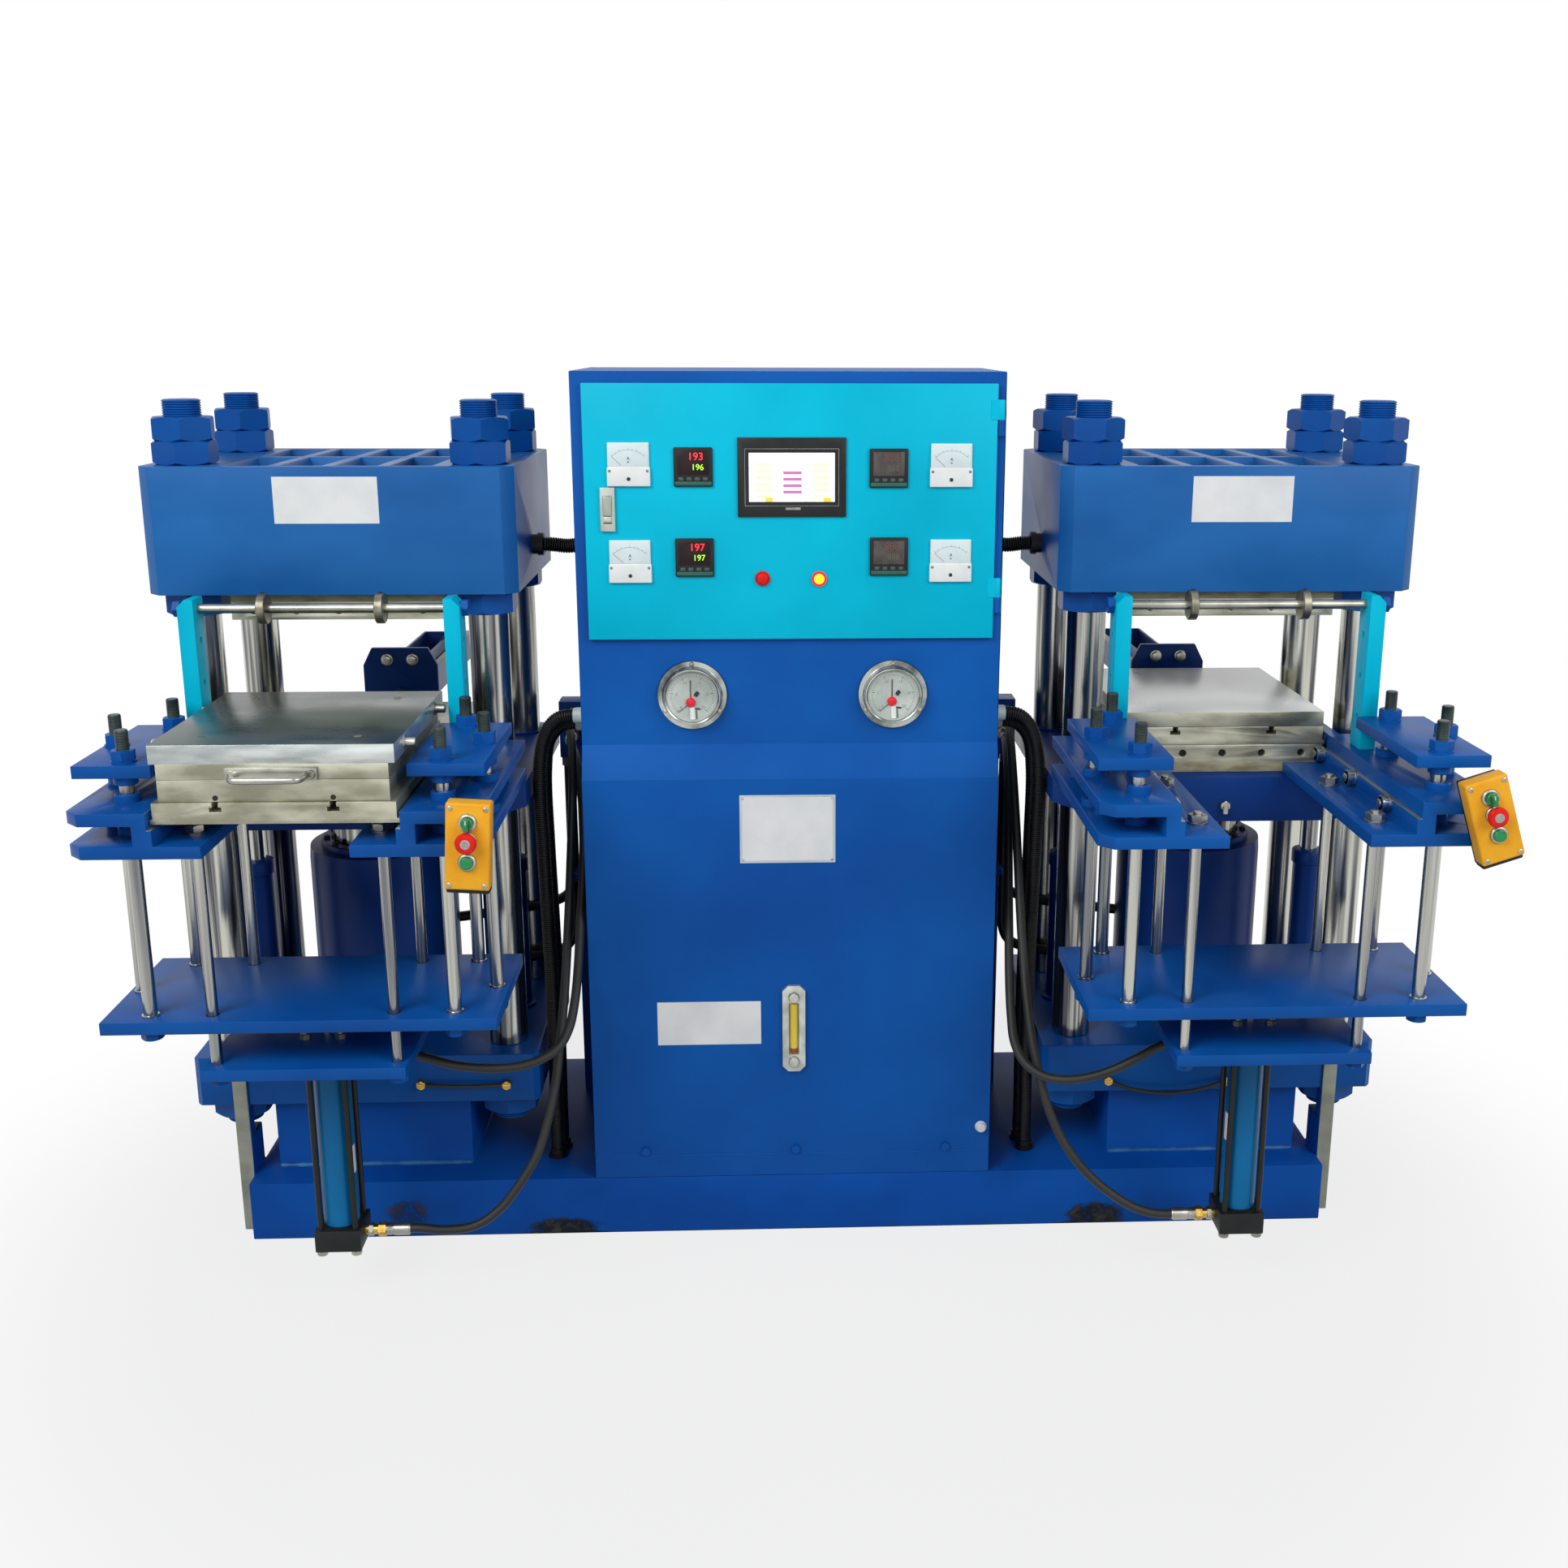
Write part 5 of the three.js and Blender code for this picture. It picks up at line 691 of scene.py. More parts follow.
# Ejector cylinders. A painted steel tube between two black cast ends, clamped by four black tie rods.
# Plated nuts close the rods below, and a blank white label is stuck on the tube.
tube_enamel = surface("tube_enamel", (2, 114, 172), (2, 96, 150), 0.34, cloud=(4, 4, 3), dent=0.06,
    shine=0.2)
cast_black = surface("cast_black", (26, 30, 30), (14, 16, 18), 0.5, 0.1, cloud=20, grain=400, dent=0.3,
    shine=0.3)
for side, x, inner in presses:
    solids = [turned(tube_enamel, (x, ejector_y, 0.1578), "Z", [(0, 66), (322.5, 66)])]
    for low, high in ((0.1143, 0.1583), (0.4793, 0.5253)):
        solids.append(slab(cast_black, x - 0.043, x + 0.043, -0.278, -0.192, low, high, 0.002))
    for z in (0.1583, 0.4758):
        solids.append(turned(cast_black, (x, ejector_y, z), "Z", [(0, 71), (3.5, 71)]))
    for dx, dy in tie_rods:
        solids.append(bar(cast_black, (x + dx, ejector_y + dy, 0.1575), "Z", 0.3225, 0.0115, 0.001, 20))
        solids.append(hexagon(plated_steel, (x + dx, ejector_y + dy, 0.1144), "-Z", 0.009, 0.018))
    label_z, label_turn = (0.262, -16) if inner > 0 else (0.298, -164)
    label = turned(blank_white, (x, ejector_y, label_z), "Z", [(0, 66.6), (56, 66.6)], 64)
    planes = []
    for half_turn, up in ((-0.34, 1), (0.34, -1)):
        angle = math.radians(label_turn) + half_turn
        planes.append(((x, ejector_y, 0.3),
            Vector((math.cos(angle), math.sin(angle), 0)).cross(Vector((0, 0, up)))))
    solids.append(clipped(label, planes, closed=False))
    together(f"{side}_ejector_tube", f"platen_{side}", solids,
        [f"{side}_ejector_cylinder"])

# Carriages. Ground plates with two T-slots across the top and a small lip along each side, drawn in and out
# by a chromed rod. The left one carries the mould, the right one a plain plate.
pull_rod_z, carriage_top = 1.02825, 1.0469
for side, x, _ in presses:
    back = 0.012 if side == "left" else 0.512
    solids = [
        bevelled(f"{side}_carriage", plate_steel, edge=0.0007),
        bar(plated_steel, (x, back - 0.0005, pull_rod_z), "Y", 0.5895, 0.0163),
        hexagon(plated_steel, (x, back, pull_rod_z), "Y", 0.012, 0.026)]
    together(f"{side}_slotted_carriage", f"carriage_{side}", solids, [f"{side}_carriage"])
# The plain plate's top is painted near white: painted light, for the glare on its ground face. Its sides keep
# the plate steel.
plate_top_painted_glare = surface("plate_top_painted_glare", (254, 255, 254), (244, 246, 245), 0.3, 0.1, cloud=(6, 3, 6),
    grain=(900, 70, 900), dent=0.05, gloss_spread=0.1, span=(0.3, 0.45))
plain = slab(plate_steel, press_x - 0.2015, press_x + 0.2015, 0.057, 0.512, carriage_top, 1.0769, 0.001)
paint_faces(plain, plate_top_painted_glare, lambda middle, normal: normal.z > 0.9)
together("plain_plate", "carriage_right", [plain], ["right_plain_plate"])

# Mould. Three ground steel plates: the lower half on the carriage, the upper half with its top plate. Four
# pins lift the upper half, a plated bow handle is screwed on in front, and four dowels show on top.
# The top face of the upper half is painted darker and green-grey with fine streaks: painted reflection of the
# dark surroundings in its ground face. Its sides keep a bright steel.
mould_top_painted_reflection = surface("mould_top_painted_reflection", (92, 105, 99), (62, 75, 71), 0.3, 0.5, cloud=(5, 8, 5),
    grain=(900, 70, 900), dent=0.05, gloss_spread=0.2, span=(0.36, 0.6))
top_edge = surface("top_edge", (204, 210, 208), (160, 168, 168), 0.3, 0.7, cloud=(10, 10, 40), dent=0.06)
x, mould_front, mould_back, mould_reach = -press_x, -0.437, -0.013, 0.191
solids = [slab(plate_steel, x - mould_reach, x + mould_reach, mould_front, 0.006, carriage_top, 1.0846,
    0.0008)]
for dx in (-0.097, 0.097):
    # Two dark discs on the front stand for holes: painted shade.
    solids.append(turned(hole_painted_shade, (x + dx, mould_front + 0.0005, 1.0535), "-Y", [(0, 9), (1.2, 9)], 20))
together("mould_lower_half", "carriage_left", solids, ["left_mould_base"])
top_plate = slab(top_edge, x - 0.202, x + 0.202, mould_front, mould_back, 1.1113, 1.1443, 0.0012)
paint_faces(top_plate, mould_top_painted_reflection, lambda middle, normal: normal.z > 0.9)
solids = [
    slab(plate_steel, x - mould_reach, x + mould_reach, mould_front, mould_back, 1.0849, 1.1118, 0.0008),
    top_plate,
    slab(plated_steel, x - 0.076, x + 0.076, -0.447, mould_front + 0.0005, 1.0859, 1.1069, 0.0015)]
lift_pin = [(0, 24), (3, 24), (3.5, 16), (19.5, 16), (20.8, 13.5)]
for way in (-1, 1):
    for y in (-0.3564, -0.0936):
        solids.append(turned(plated_steel, (x + way * 0.2010, y, 1.1278), sideways[way], lift_pin))
    for y in (-0.380, -0.070):
        solids.append(turned(collar_steel, (x + way * 0.130, y, 1.1441), "Z", [(0, 14), (0.6, 13)], 32))
handle_z = 1.0959
handle_screw = [(0, 15), (5, 15), (7, 12), (7, 7), (3, 7)]
for dx in (-0.066, 0.066):
    solids.append(turned(plated_steel, (x + dx, -0.4468, handle_z), "-Y", handle_screw, 24))
half_grip = [(0.058, -0.4465), (0.058, -0.460), (0.058, -0.471), (0.0555, -0.480), (0.050, -0.4855),
    (0.042, -0.487)]
grip = [(-dx, y) for dx, y in half_grip] + [(0.0, -0.487)] + half_grip[::-1]
solids.append(tube_along(plated_steel, smooth_line([(x + dx, y, handle_z) for dx, y in grip], 4), 0.012))
together("mould_upper_half", "mould_top", solids, ["left_mould_top"])

# Slide cylinders. A flanged bracket behind each platen holds a channel iron with the cylinder that draws
# the carriage. Two bolts show on the bracket, and a grey sheet cover lies along the channel's front half.
bolt_z = 1.0986
for side, x, inner in presses:
    solids = [
        bevelled(f"{side}_slide_cylinder", blue_enamel_painted_shade, edge=0.0012),
        slab(leg_steel, x + inner * 0.046, x + inner * 0.0625, 0.5605, 1.1190, 1.0623, 1.0653, 0.0006),
        turned(plated_steel, (x, 1.105, pull_rod_z), "Y", [(0, 52), (13, 52), (15, 48)])]
    for dx in (-0.028, 0.028):
        solids += [
            turned(plated_steel, (x + dx, 0.5478, bolt_z), "-Y", [(0, 26), (2.5, 26), (3, 24)]),
            hexagon(plated_steel, (x + dx, 0.5450, bolt_z), "-Y", 0.0105, 0.019)]
    together(f"{side}_slide_unit", f"platen_{side}", solids, [f"{side}_slide_cylinder"])

# Control stations. A yellow moulded lid on a black box, held by four screws, with a green selector on top,
# a red mushroom stop in the middle and a green start button below, each in a plated ring.
yellow_mould = surface("yellow_moulding", (246, 178, 40), (238, 164, 30), 0.46, cloud=30, grain=700,
    dent=0.15, shine=0.25)
red_mould = surface("red_moulding", (236, 28, 22), (214, 20, 16), 0.36, cloud=60, dent=0.05, shine=0.25)
green_mould = surface("green_moulding", (20, 142, 78), (12, 118, 62), 0.3, cloud=60, dent=0.05)
cap_grey = surface("cap_grey", (178, 172, 170), (140, 136, 136), 0.5, cloud=90, dent=0.05)
stations = {"left": (-0.538, 0.981, 3.5), "right": (1.178, 1.010, -18.0)}
lid_face, stem_foot = -0.5080, -0.4963
knob_z, mushroom_z, cap_z = 0.047, 0.016, -0.021


def hung(solids, side):
    """Turns and shifts shapes made about the station's middle to where the station hangs."""
    sx, sz, roll_degrees = stations[side]
    for one in solids:
        one.rotation_euler = (0, math.radians(roll_degrees), 0)
        one.location = (sx, 0, sz)
        pick(one)
        bpy.ops.object.transform_apply(location=True, rotation=True, scale=True)
    return solids


for side in stations:
    lid = slab(yellow_mould, -0.037, 0.037, -0.5083, -0.4743, -0.0700, 0.079, 0.004, 4)
    tray = slab(black_nylon, -0.034, 0.034, -0.4748, -0.4598, -0.0785, 0.076, 0.003, 3)
    foot = slab(black_nylon, -0.0355, 0.0355, -0.5000, -0.4700, -0.0785, -0.0600, 0.003, 3)
    plate = slab(cast_black, -0.029, 0.029, -0.4605, -0.4573, -0.071, 0.071, 0.0008)
    solids = [lid, tray, foot, plate]
    for dx in (-0.029, 0.029):
        for dz in (-0.062, 0.070):
            solids.append(turned(plated_steel, (dx, lid_face, dz), "-Y",
                [(0, 8.5), (1.2, 8.5), (2, 6), (2, 3.5), (1.2, 3.5)], 20))
    for z in (knob_z, mushroom_z, cap_z):
        solids.append(turned(plated_steel, (0, lid_face, z), "-Y",
            [(0, 31), (2, 31), (4.5, 28.5), (5.3, 26), (5.3, 22.5), (2, 22.5)], 40))
    together(f"{side}_station_box", f"platen_{side}", hung(solids, side),
        [f"{side}_control_station"])
    mushroom = turned(red_mould, (0, stem_foot, mushroom_z), "-Y",
        [(0, 18), (23.5, 18), (24.5, 30), (26.5, 35), (29, 36), (32, 34.5), (34.5, 30), (35, 24),
        (35.2, 16)], 48)
    centre = turned(cap_grey, (0, -0.5312, mushroom_z), "-Y", [(0, 16.5), (0.6, 16.5), (1, 15.5), (1, 8.5),
        (0.4, 8)], 32)
    together(f"{side}_stop_mushroom", f"stop_{side}", hung([mushroom, centre], side),
        [f"{side}_stop_button"])
    cap = turned(green_mould, (0, stem_foot, cap_z), "-Y", [(0, 18), (15.5, 18), (16, 21.5), (21, 21.5),
        (21.7, 20), (22, 18)], 40)
    together(f"{side}_start_cap", f"start_{side}", hung([cap], side),
        [f"{side}_start_button"])
    knob = turned(green_mould, (0, stem_foot, knob_z), "-Y", [(0, 18), (17.5, 18), (17.8, 19.5),
        (24.5, 19.5), (25.3, 18)], 40)
    lever = slab(green_mould, -0.0038, 0.0038, -0.5316, -0.5210, 0.037, 0.057, 0.0018, 3)
    mark = slab(blank_white, -0.0008, 0.0008, -0.5319, -0.5312, 0.049, 0.056, 0.0002, 1)
    together(f"{side}_selector_knob", f"selector_{side}", hung([knob, lever, mark], side),
        [f"{side}_selector"])

# Cabinet. A sheet-steel housing over an oil tank whose front stands proud and slopes back above. Blue
# enamel, a thin bead along the foot's seam, three fixing bolts and a white drain plug low on the right.
cabinet_enamel = surface("cabinet_enamel", (13, 93, 178), (9, 73, 155), 0.4, cloud=2, grain=240, shine=0.12)
cabinet_side = 0.404
housing = bevelled("cabinet_body", cabinet_enamel, edge=0.0016, merged=False)
clipped(housing, [((way * (cabinet_side + 0.0002), 0, 0), (way, 0, 0)) for way in (-1, 1)])
solids = [housing]
for bx in (-0.300, 0.006, 0.313):
    solids.append(hexagon(cabinet_enamel, (bx, -0.0278, 0.184), "-Y", 0.006, 0.016))
solids.append(turned(blank_white, (0.386, -0.0278, 0.227), "-Y", [(0, 24), (3, 24), (5, 21), (10, 19),
    (12, 15)], 24))
solids.append(bar(cabinet_enamel, (-0.403, -0.0275, 0.173), "X", 0.806, 0.003, 0.001, 8))
together("cabinet_housing", "frame", solids, ["cabinet_body"], crease=15)

# Cable conduits. Black corrugated plastic pipe from the cabinet's side to each upper beam, hanging in a
# short loop between its two glands.
def corrugated(route, rib_diameter, root_diameter):
    """A ribbed plastic pipe along a route."""
    line = smooth_line(route, 10)
    length, rib_pitch = run_of(line), 0.0045
    ribs = round(length / rib_pitch)
    rib = length / ribs
    stations = [(0, root_diameter)]
    for i in range(ribs):
        at = length * i / ribs
        stations += [(at + rib * 0.25, rib_diameter), (at + rib * 0.6, rib_diameter),
            (at + rib * 0.85, root_diameter)]
    pipe = turned(black_nylon, (0, 0, 0), "X", [*stations, (length, root_diameter)], 16, 1)
    guide = drawn(line)
    pick(pipe)
    bend = pipe.modifiers.new("bend", "CURVE")
    bend.object, bend.deform_axis = guide, "POS_X"
    bpy.ops.object.modifier_apply(modifier="bend")
    bpy.data.objects.remove(guide)
    return pipe


for way, label in ((-1, "left"), (1, "right")):
    sag = ((0.4035, 0), (0.420, 0.0005), (0.448, 0.0035), (0.478, 0.0005), (0.4937, 0))
    pipe = corrugated([(way * px, cable_y, cable_z - drop) for px, drop in sag], 0.030, 0.0255)
    nut = turned(black_nylon, (way * 0.4035, cable_y, cable_z), sideways[way],
        [(0, 44), (6, 44), (6.5, 38), (13, 36), (14, 31)], 32)
    together(f"{label}_conduit", "frame", [pipe, nut])

# Door. A folded sheet in bright blue enamel on two lift-off hinges. The backs of its instruments
# reach into the cabinet behind it.
door_left, door_bottom, door_width, door_height = -0.382, 1.241, 0.769, 0.476


def on_door(share_across, share_up):
    """A place on the door, from its shares of the door's width and height."""
    return door_left + share_across * door_width, door_bottom + share_up * door_height


door_sheet = slab(bright_enamel, door_left, door_left + door_width, -0.0123, -0.0003, door_bottom,
    door_bottom + door_height, 0.0016)
lock_x, lock_z = on_door(0.056, 0.517)
heating_x, heating_z = on_door(0.429, 0.244)
cut_by(door_sheet, bar(hole_painted_shade, (heating_x, -0.02, heating_z), "Y", 0.03, 0.0225))
cut_by(door_sheet, bar(hole_painted_shade, (lock_x, -0.02, lock_z), "Y", 0.03, 0.0165))
ammeters = [on_door(0.109, 0.691), on_door(0.889, 0.687), on_door(0.107, 0.313), on_door(0.891, 0.313)]
controllers = [(*on_door(0.264, 0.681), "193", "196"), (*on_door(0.737, 0.676), "", ""),
    (*on_door(0.264, 0.328), "197", "197"), (*on_door(0.739, 0.330), "", "")]
screen_x, screen_z = on_door(0.502, 0.641)
solids = [door_sheet]
for mx, mz in ammeters:
    solids.append(slab(black_nylon, mx - 0.033, mx + 0.033, -0.001, 0.055, mz - 0.033, mz + 0.033, 0.003))
for mx, mz, hot, wanted_heat in controllers:
    solids.append(slab(black_nylon, mx - 0.033, mx + 0.033, -0.001, 0.075, mz - 0.033, mz + 0.033, 0.003))
solids.append(slab(black_nylon, screen_x - 0.094, screen_x + 0.094, -0.001, 0.045, screen_z - 0.066,
    screen_z + 0.066, 0.003))
for hz in (on_door(1, 0.164)[1], on_door(1, 0.861)[1]):
    solids.append(turned(bright_enamel, (0.3945, -0.009, hz + 0.0003), "Z",
        [(0, 12.5), (1, 13), (34, 13), (36.7, 10)], 24))
    solids.append(slab(bright_enamel, 0.374, 0.3945, -0.0133, -0.0113, hz + 0.0003, hz + 0.037, 0.0005, 1))
together("door_sheet", "door", solids, ["cabinet_door"])

# Ammeters. White moulded bezels with a pale dial: an arc of fine marks, a thin red
# needle at rest and a small zeroing screw in the white lower part.
white_mould = surface("white_moulding", (236, 240, 240), (226, 231, 231), 0.4, cloud=30, dent=0.04,
    shine=0.3)
dial_white = surface("dial_white", (222, 238, 240), (216, 232, 234), 0.5, cloud=30, dent=0.02, shine=0.3)
dial_black = surface("dial_black", (28, 28, 32), (14, 14, 18), 0.5, cloud=60, dent=0.02)
scale_grey = surface("scale_grey", (132, 146, 148), (112, 126, 130), 0.5, cloud=60, dent=0.02)
screw_grey = surface("screw_grey", (138, 138, 136), (92, 92, 94), 0.4, 0.6, cloud=90, dent=0.05)
needle_red = surface("needle_red", (206, 92, 96), (190, 76, 84), 0.4, cloud=60, dent=0.02)


def around(middle, radius, angle):
    """A place on an upright circle. Its middle is across and up, with a depth between them if it has one."""
    across, *deep, up = middle
    return (across + radius * math.cos(angle), *deep, up + radius * math.sin(angle))


def letters(finish, words, place, size, depth=0.0004):
    """Flat raised figures whose front faces the operator."""
    bpy.ops.object.text_add(location=(0, 0, 0))
    text = bpy.context.active_object
    text.data.body = words
    text.data.size = size
    text.data.extrude = depth
    text.data.align_x, text.data.align_y = "CENTER", "CENTER"
    bpy.ops.object.convert(target="MESH")
    text = bpy.context.active_object
    text.rotation_euler = (math.pi / 2, 0, 0)
    text.location = place
    return shaped(text, finish)


def tick(finish, place, angle, reach, width, y):
    """A thin mark on a dial, laid along an angle measured from the dial's right."""
    piece = slab(finish, -reach / 2, reach / 2, y - 0.0002, y + 0.0004, -width / 2, width / 2, width / 6, 1)
    piece.rotation_euler = (0, -angle, 0)
    piece.location = (place[0], 0, place[1])
    return shaped(piece, finish)


bow_radius, sweep_start, sweep = 0.0435, 132, 84
for number, (mx, mz) in enumerate(ammeters, 1):
    solids = [
        slab(white_mould, mx - 0.0385, mx + 0.0385, -0.0173, -0.0113, mz - 0.038, mz + 0.040, 0.0018, 3),
        slab(dial_white, mx - 0.0365, mx + 0.0365, -0.0180, -0.0170, mz - 0.0035, mz + 0.038, 0.0006),
        slab(white_mould, mx - 0.040, mx + 0.040, -0.0192, -0.0113, mz - 0.040, mz - 0.0050, 0.0018, 3),
        turned(dial_black, (mx, -0.0190, mz - 0.0263), "-Y", [(0, 7), (0.8, 7), (1.2, 5.5)], 20)]
    for way in (-1, 1):
        solids.append(turned(screw_grey, (mx + way * 0.035, -0.0190, mz - 0.0116), "-Y",
            [(0, 5.2), (0.8, 5.2), (1.2, 4), (1.2, 2.2), (0.6, 2)], 16))
    bow = (mx, mz - 0.0165)
    for i in range(25):
        angle = math.radians(sweep_start - i * sweep / 24)
        solids.append(tick(scale_grey, around(bow, bow_radius, angle), angle + math.pi / 2, 0.0030, 0.0005,
            -0.0181))
    for i in range(9):
        angle = math.radians(sweep_start - i * sweep / 8)
        reach = 0.0034 if i % 2 == 0 else 0.0020
        solids.append(tick(scale_grey, around(bow, bow_radius + reach / 2, angle), angle, reach, 0.0005,
            -0.0181))
    swing = math.radians(138)
    solids.append(tick(needle_red, (mx - 0.0215, mz + 0.0065), swing, 0.024, 0.0006, -0.0186))
    solids.append(letters(dial_black, "A", (mx, -0.0181, mz + 0.0110), 0.0085, 0.0002))
    solids.append(turned(scale_grey, (mx, -0.0179, mz + 0.0045), "-Y", [(0, 3.6), (0.2, 3.6), (0.2, 2.8)],
        20))
    together(f"ammeter_{number}", "door", solids, crease=30)

# Temperature controllers. Black bezels with two rows of figures, lit red and green on the left side and
# dark on the right, over a row of four soft keys.
def glowing(name, colour, strength):
    """A lit figure or lamp."""
    made = surface(name, colour, colour, 0.4, cloud=20, dent=0.01)
    shader = made.node_tree.nodes["Principled BSDF"].inputs
    shader["Emission Color"].default_value = srgb(*colour)
    shader["Emission Strength"].default_value = strength
    return made


bezel_black = surface("bezel_black", (20, 22, 24), (12, 14, 16), 0.4, cloud=40, dent=0.06, shine=0.3)
window_dark = surface("window_dark", (40, 20, 24), (26, 16, 20), 0.3, cloud=30, dent=0.01, shine=0.2)
figure_red = glowing("figure_red", (255, 40, 48), 1.5)
figure_green = glowing("figure_green", (170, 240, 50), 1.2)
figure_unlit = surface("figure_unlit", (104, 66, 62), (92, 60, 58), 0.4, cloud=20, dent=0.01)
figure_dim = surface("figure_dim", (92, 88, 78), (84, 80, 72), 0.4, cloud=20, dent=0.01)
window_grey = surface("window_grey", (88, 80, 76), (62, 58, 58), 0.3, cloud=(60, 60, 40), dent=0.01,
    shine=0.3)
key_teal = surface("key_teal", (20, 92, 76), (14, 76, 64), 0.5, cloud=60, dent=0.05)
key_grey = surface("key_grey", (64, 82, 78), (48, 64, 62), 0.5, cloud=60, dent=0.05)
for number, (mx, mz, hot, wanted_heat) in enumerate(controllers, 1):
    window = window_dark if hot else window_grey
    solids = [
        slab(bezel_black, mx - 0.036, mx + 0.036, -0.0183, -0.0113, mz - 0.036, mz + 0.036, 0.0022, 3),
        slab(window, mx - 0.029, mx + 0.029, -0.0189, -0.0178, mz - 0.014, mz + 0.030, 0.0006),
        slab(key_teal, mx - 0.034, mx + 0.034, -0.0187, -0.0178, mz - 0.0335, mz - 0.0265, 0.0006)]
    solids.append(letters(figure_red if hot else figure_unlit, hot or "888",
        (mx + 0.005, -0.0190, mz + 0.0190), 0.0195))
    solids.append(letters(figure_green if hot else figure_dim, wanted_heat or "888",
        (mx + 0.0085, -0.0190, mz - 0.0005), 0.0155))
    for i in range(4):
        solids.append(slab(key_grey, mx - 0.0270 + i * 0.0150, mx - 0.0180 + i * 0.0150, -0.0193, -0.0178,
            mz - 0.0245, mz - 0.0185, 0.0007))
    together(f"controller_{number}", "door", solids, crease=30)

# Touch screen. A black bezel round a lit white screen with pale yellow fields at both sides, a column of
# pink fields in the middle and two small keys below.
screen_white = glowing("screen_white", (240, 240, 246), 0.4)
screen_yellow = glowing("screen_yellow", (244, 238, 196), 0.3)
screen_pink = glowing("screen_pink", (206, 110, 176), 0.25)
screen_key = glowing("screen_key", (232, 208, 60), 0.3)
cx, cz = screen_x, screen_z
bezel = slab(bezel_black, cx - 0.101, cx + 0.101, -0.0173, -0.0113, cz - 0.073, cz + 0.073, 0.0008)
pick(bezel)
bpy.ops.object.mode_set(mode="EDIT")
bpy.ops.mesh.select_mode(type="FACE")
bpy.ops.mesh.select_all(action="DESELECT")
bpy.ops.object.mode_set(mode="OBJECT")
for face in bezel.data.polygons:
    face.select = face.normal.y < -0.9 and face.area > 0.01
bpy.ops.object.mode_set(mode="EDIT")
bpy.ops.mesh.inset(thickness=0.0192, depth=0)
bpy.ops.mesh.inset(thickness=0.0012, depth=-0.0012)
bpy.ops.object.mode_set(mode="OBJECT")
solids = [
    bezel,
    slab(screen_white, cx - 0.0800, cx + 0.0800, -0.0166, -0.0155, cz - 0.0452, cz + 0.0452, 0.0002, 1)]
for x0, x1, z0, z1 in ((-0.0870, 0.0870, 0.0522, 0.0528), (-0.0870, 0.0870, -0.0528, -0.0522),
        (-0.0876, -0.0870, -0.0528, 0.0528), (0.0870, 0.0876, -0.0528, 0.0528)):
    solids.append(slab(plated_steel, cx + x0, cx + x1, -0.0176, -0.0171, cz + z0, cz + z1, 0.0001, 1))
solids.append(slab(cap_grey, cx - 0.012, cx + 0.016, -0.0177, -0.0171, cz - 0.0600, cz - 0.0555, 0.0003, 1))
for row in range(4):
    z = cz + 0.0085 - row * 0.0118
    solids.append(slab(screen_pink, cx - 0.016, cx + 0.018, -0.0169, -0.0160, z - 0.0026, z + 0.0026,
        0.0002, 1))
for row in range(6):
    z = cz + 0.0240 - row * 0.0118
    for x0, x1 in ((-0.067, -0.037), (0.041, 0.071)):
        solids.append(slab(screen_yellow, cx + x0, cx + x1, -0.0169, -0.0160, z - 0.0028, z + 0.0028,
            0.0002, 1))
for key_x in (-0.0425, 0.0655):
    solids.append(slab(screen_key, cx + key_x - 0.007, cx + key_x + 0.007, -0.0170, -0.0160, cz - 0.0450,
        cz - 0.0375, 0.0002, 1))
together("touch_screen", "door", solids, crease=30)

# Lamp and heating button. The lamp is a lit amber lens in a red ring; the button a red cap that
# springs back in its ring beside it.
lamp_amber = glowing("lamp_amber", (255, 190, 20), 1.6)
# The red ring round the lens is made to glow as well, though it is no lamp: a painted glow round the lit
# lens.
lamp_ring_painted_glow = glowing("lamp_ring_painted_glow", (240, 20, 40), 0.9)
lamp_x, lamp_z = on_door(0.568, 0.242)
lamp = [
    turned(lamp_ring_painted_glow, (lamp_x, -0.0120, lamp_z), "-Y", [(0, 29), (3, 29), (4.5, 27), (4.5, 22)], 40),
    turned(lamp_amber, (lamp_x, -0.0120, lamp_z), "-Y", [(0, 19.5), (5, 19.5), (7, 18), (8.5, 14.5),
        (9.3, 9)], 40)]
together("heating_lamp", "door", lamp)
ring = turned(red_mould, (heating_x, -0.0120, heating_z), "-Y", [(0, 29), (3, 29), (4.3, 27), (4.3, 23.2),
    (1, 23.2)], 40)
together("heating_ring", "door", [ring])
cap = turned(red_mould, (heating_x, 0.0177, heating_z), "-Y", [(0, 14), (30, 14), (30.5, 21.5), (37, 21.5),
    (38.3, 20), (39, 17)], 40)
together("heating_cap", "heating", [cap], ["heating_button"])

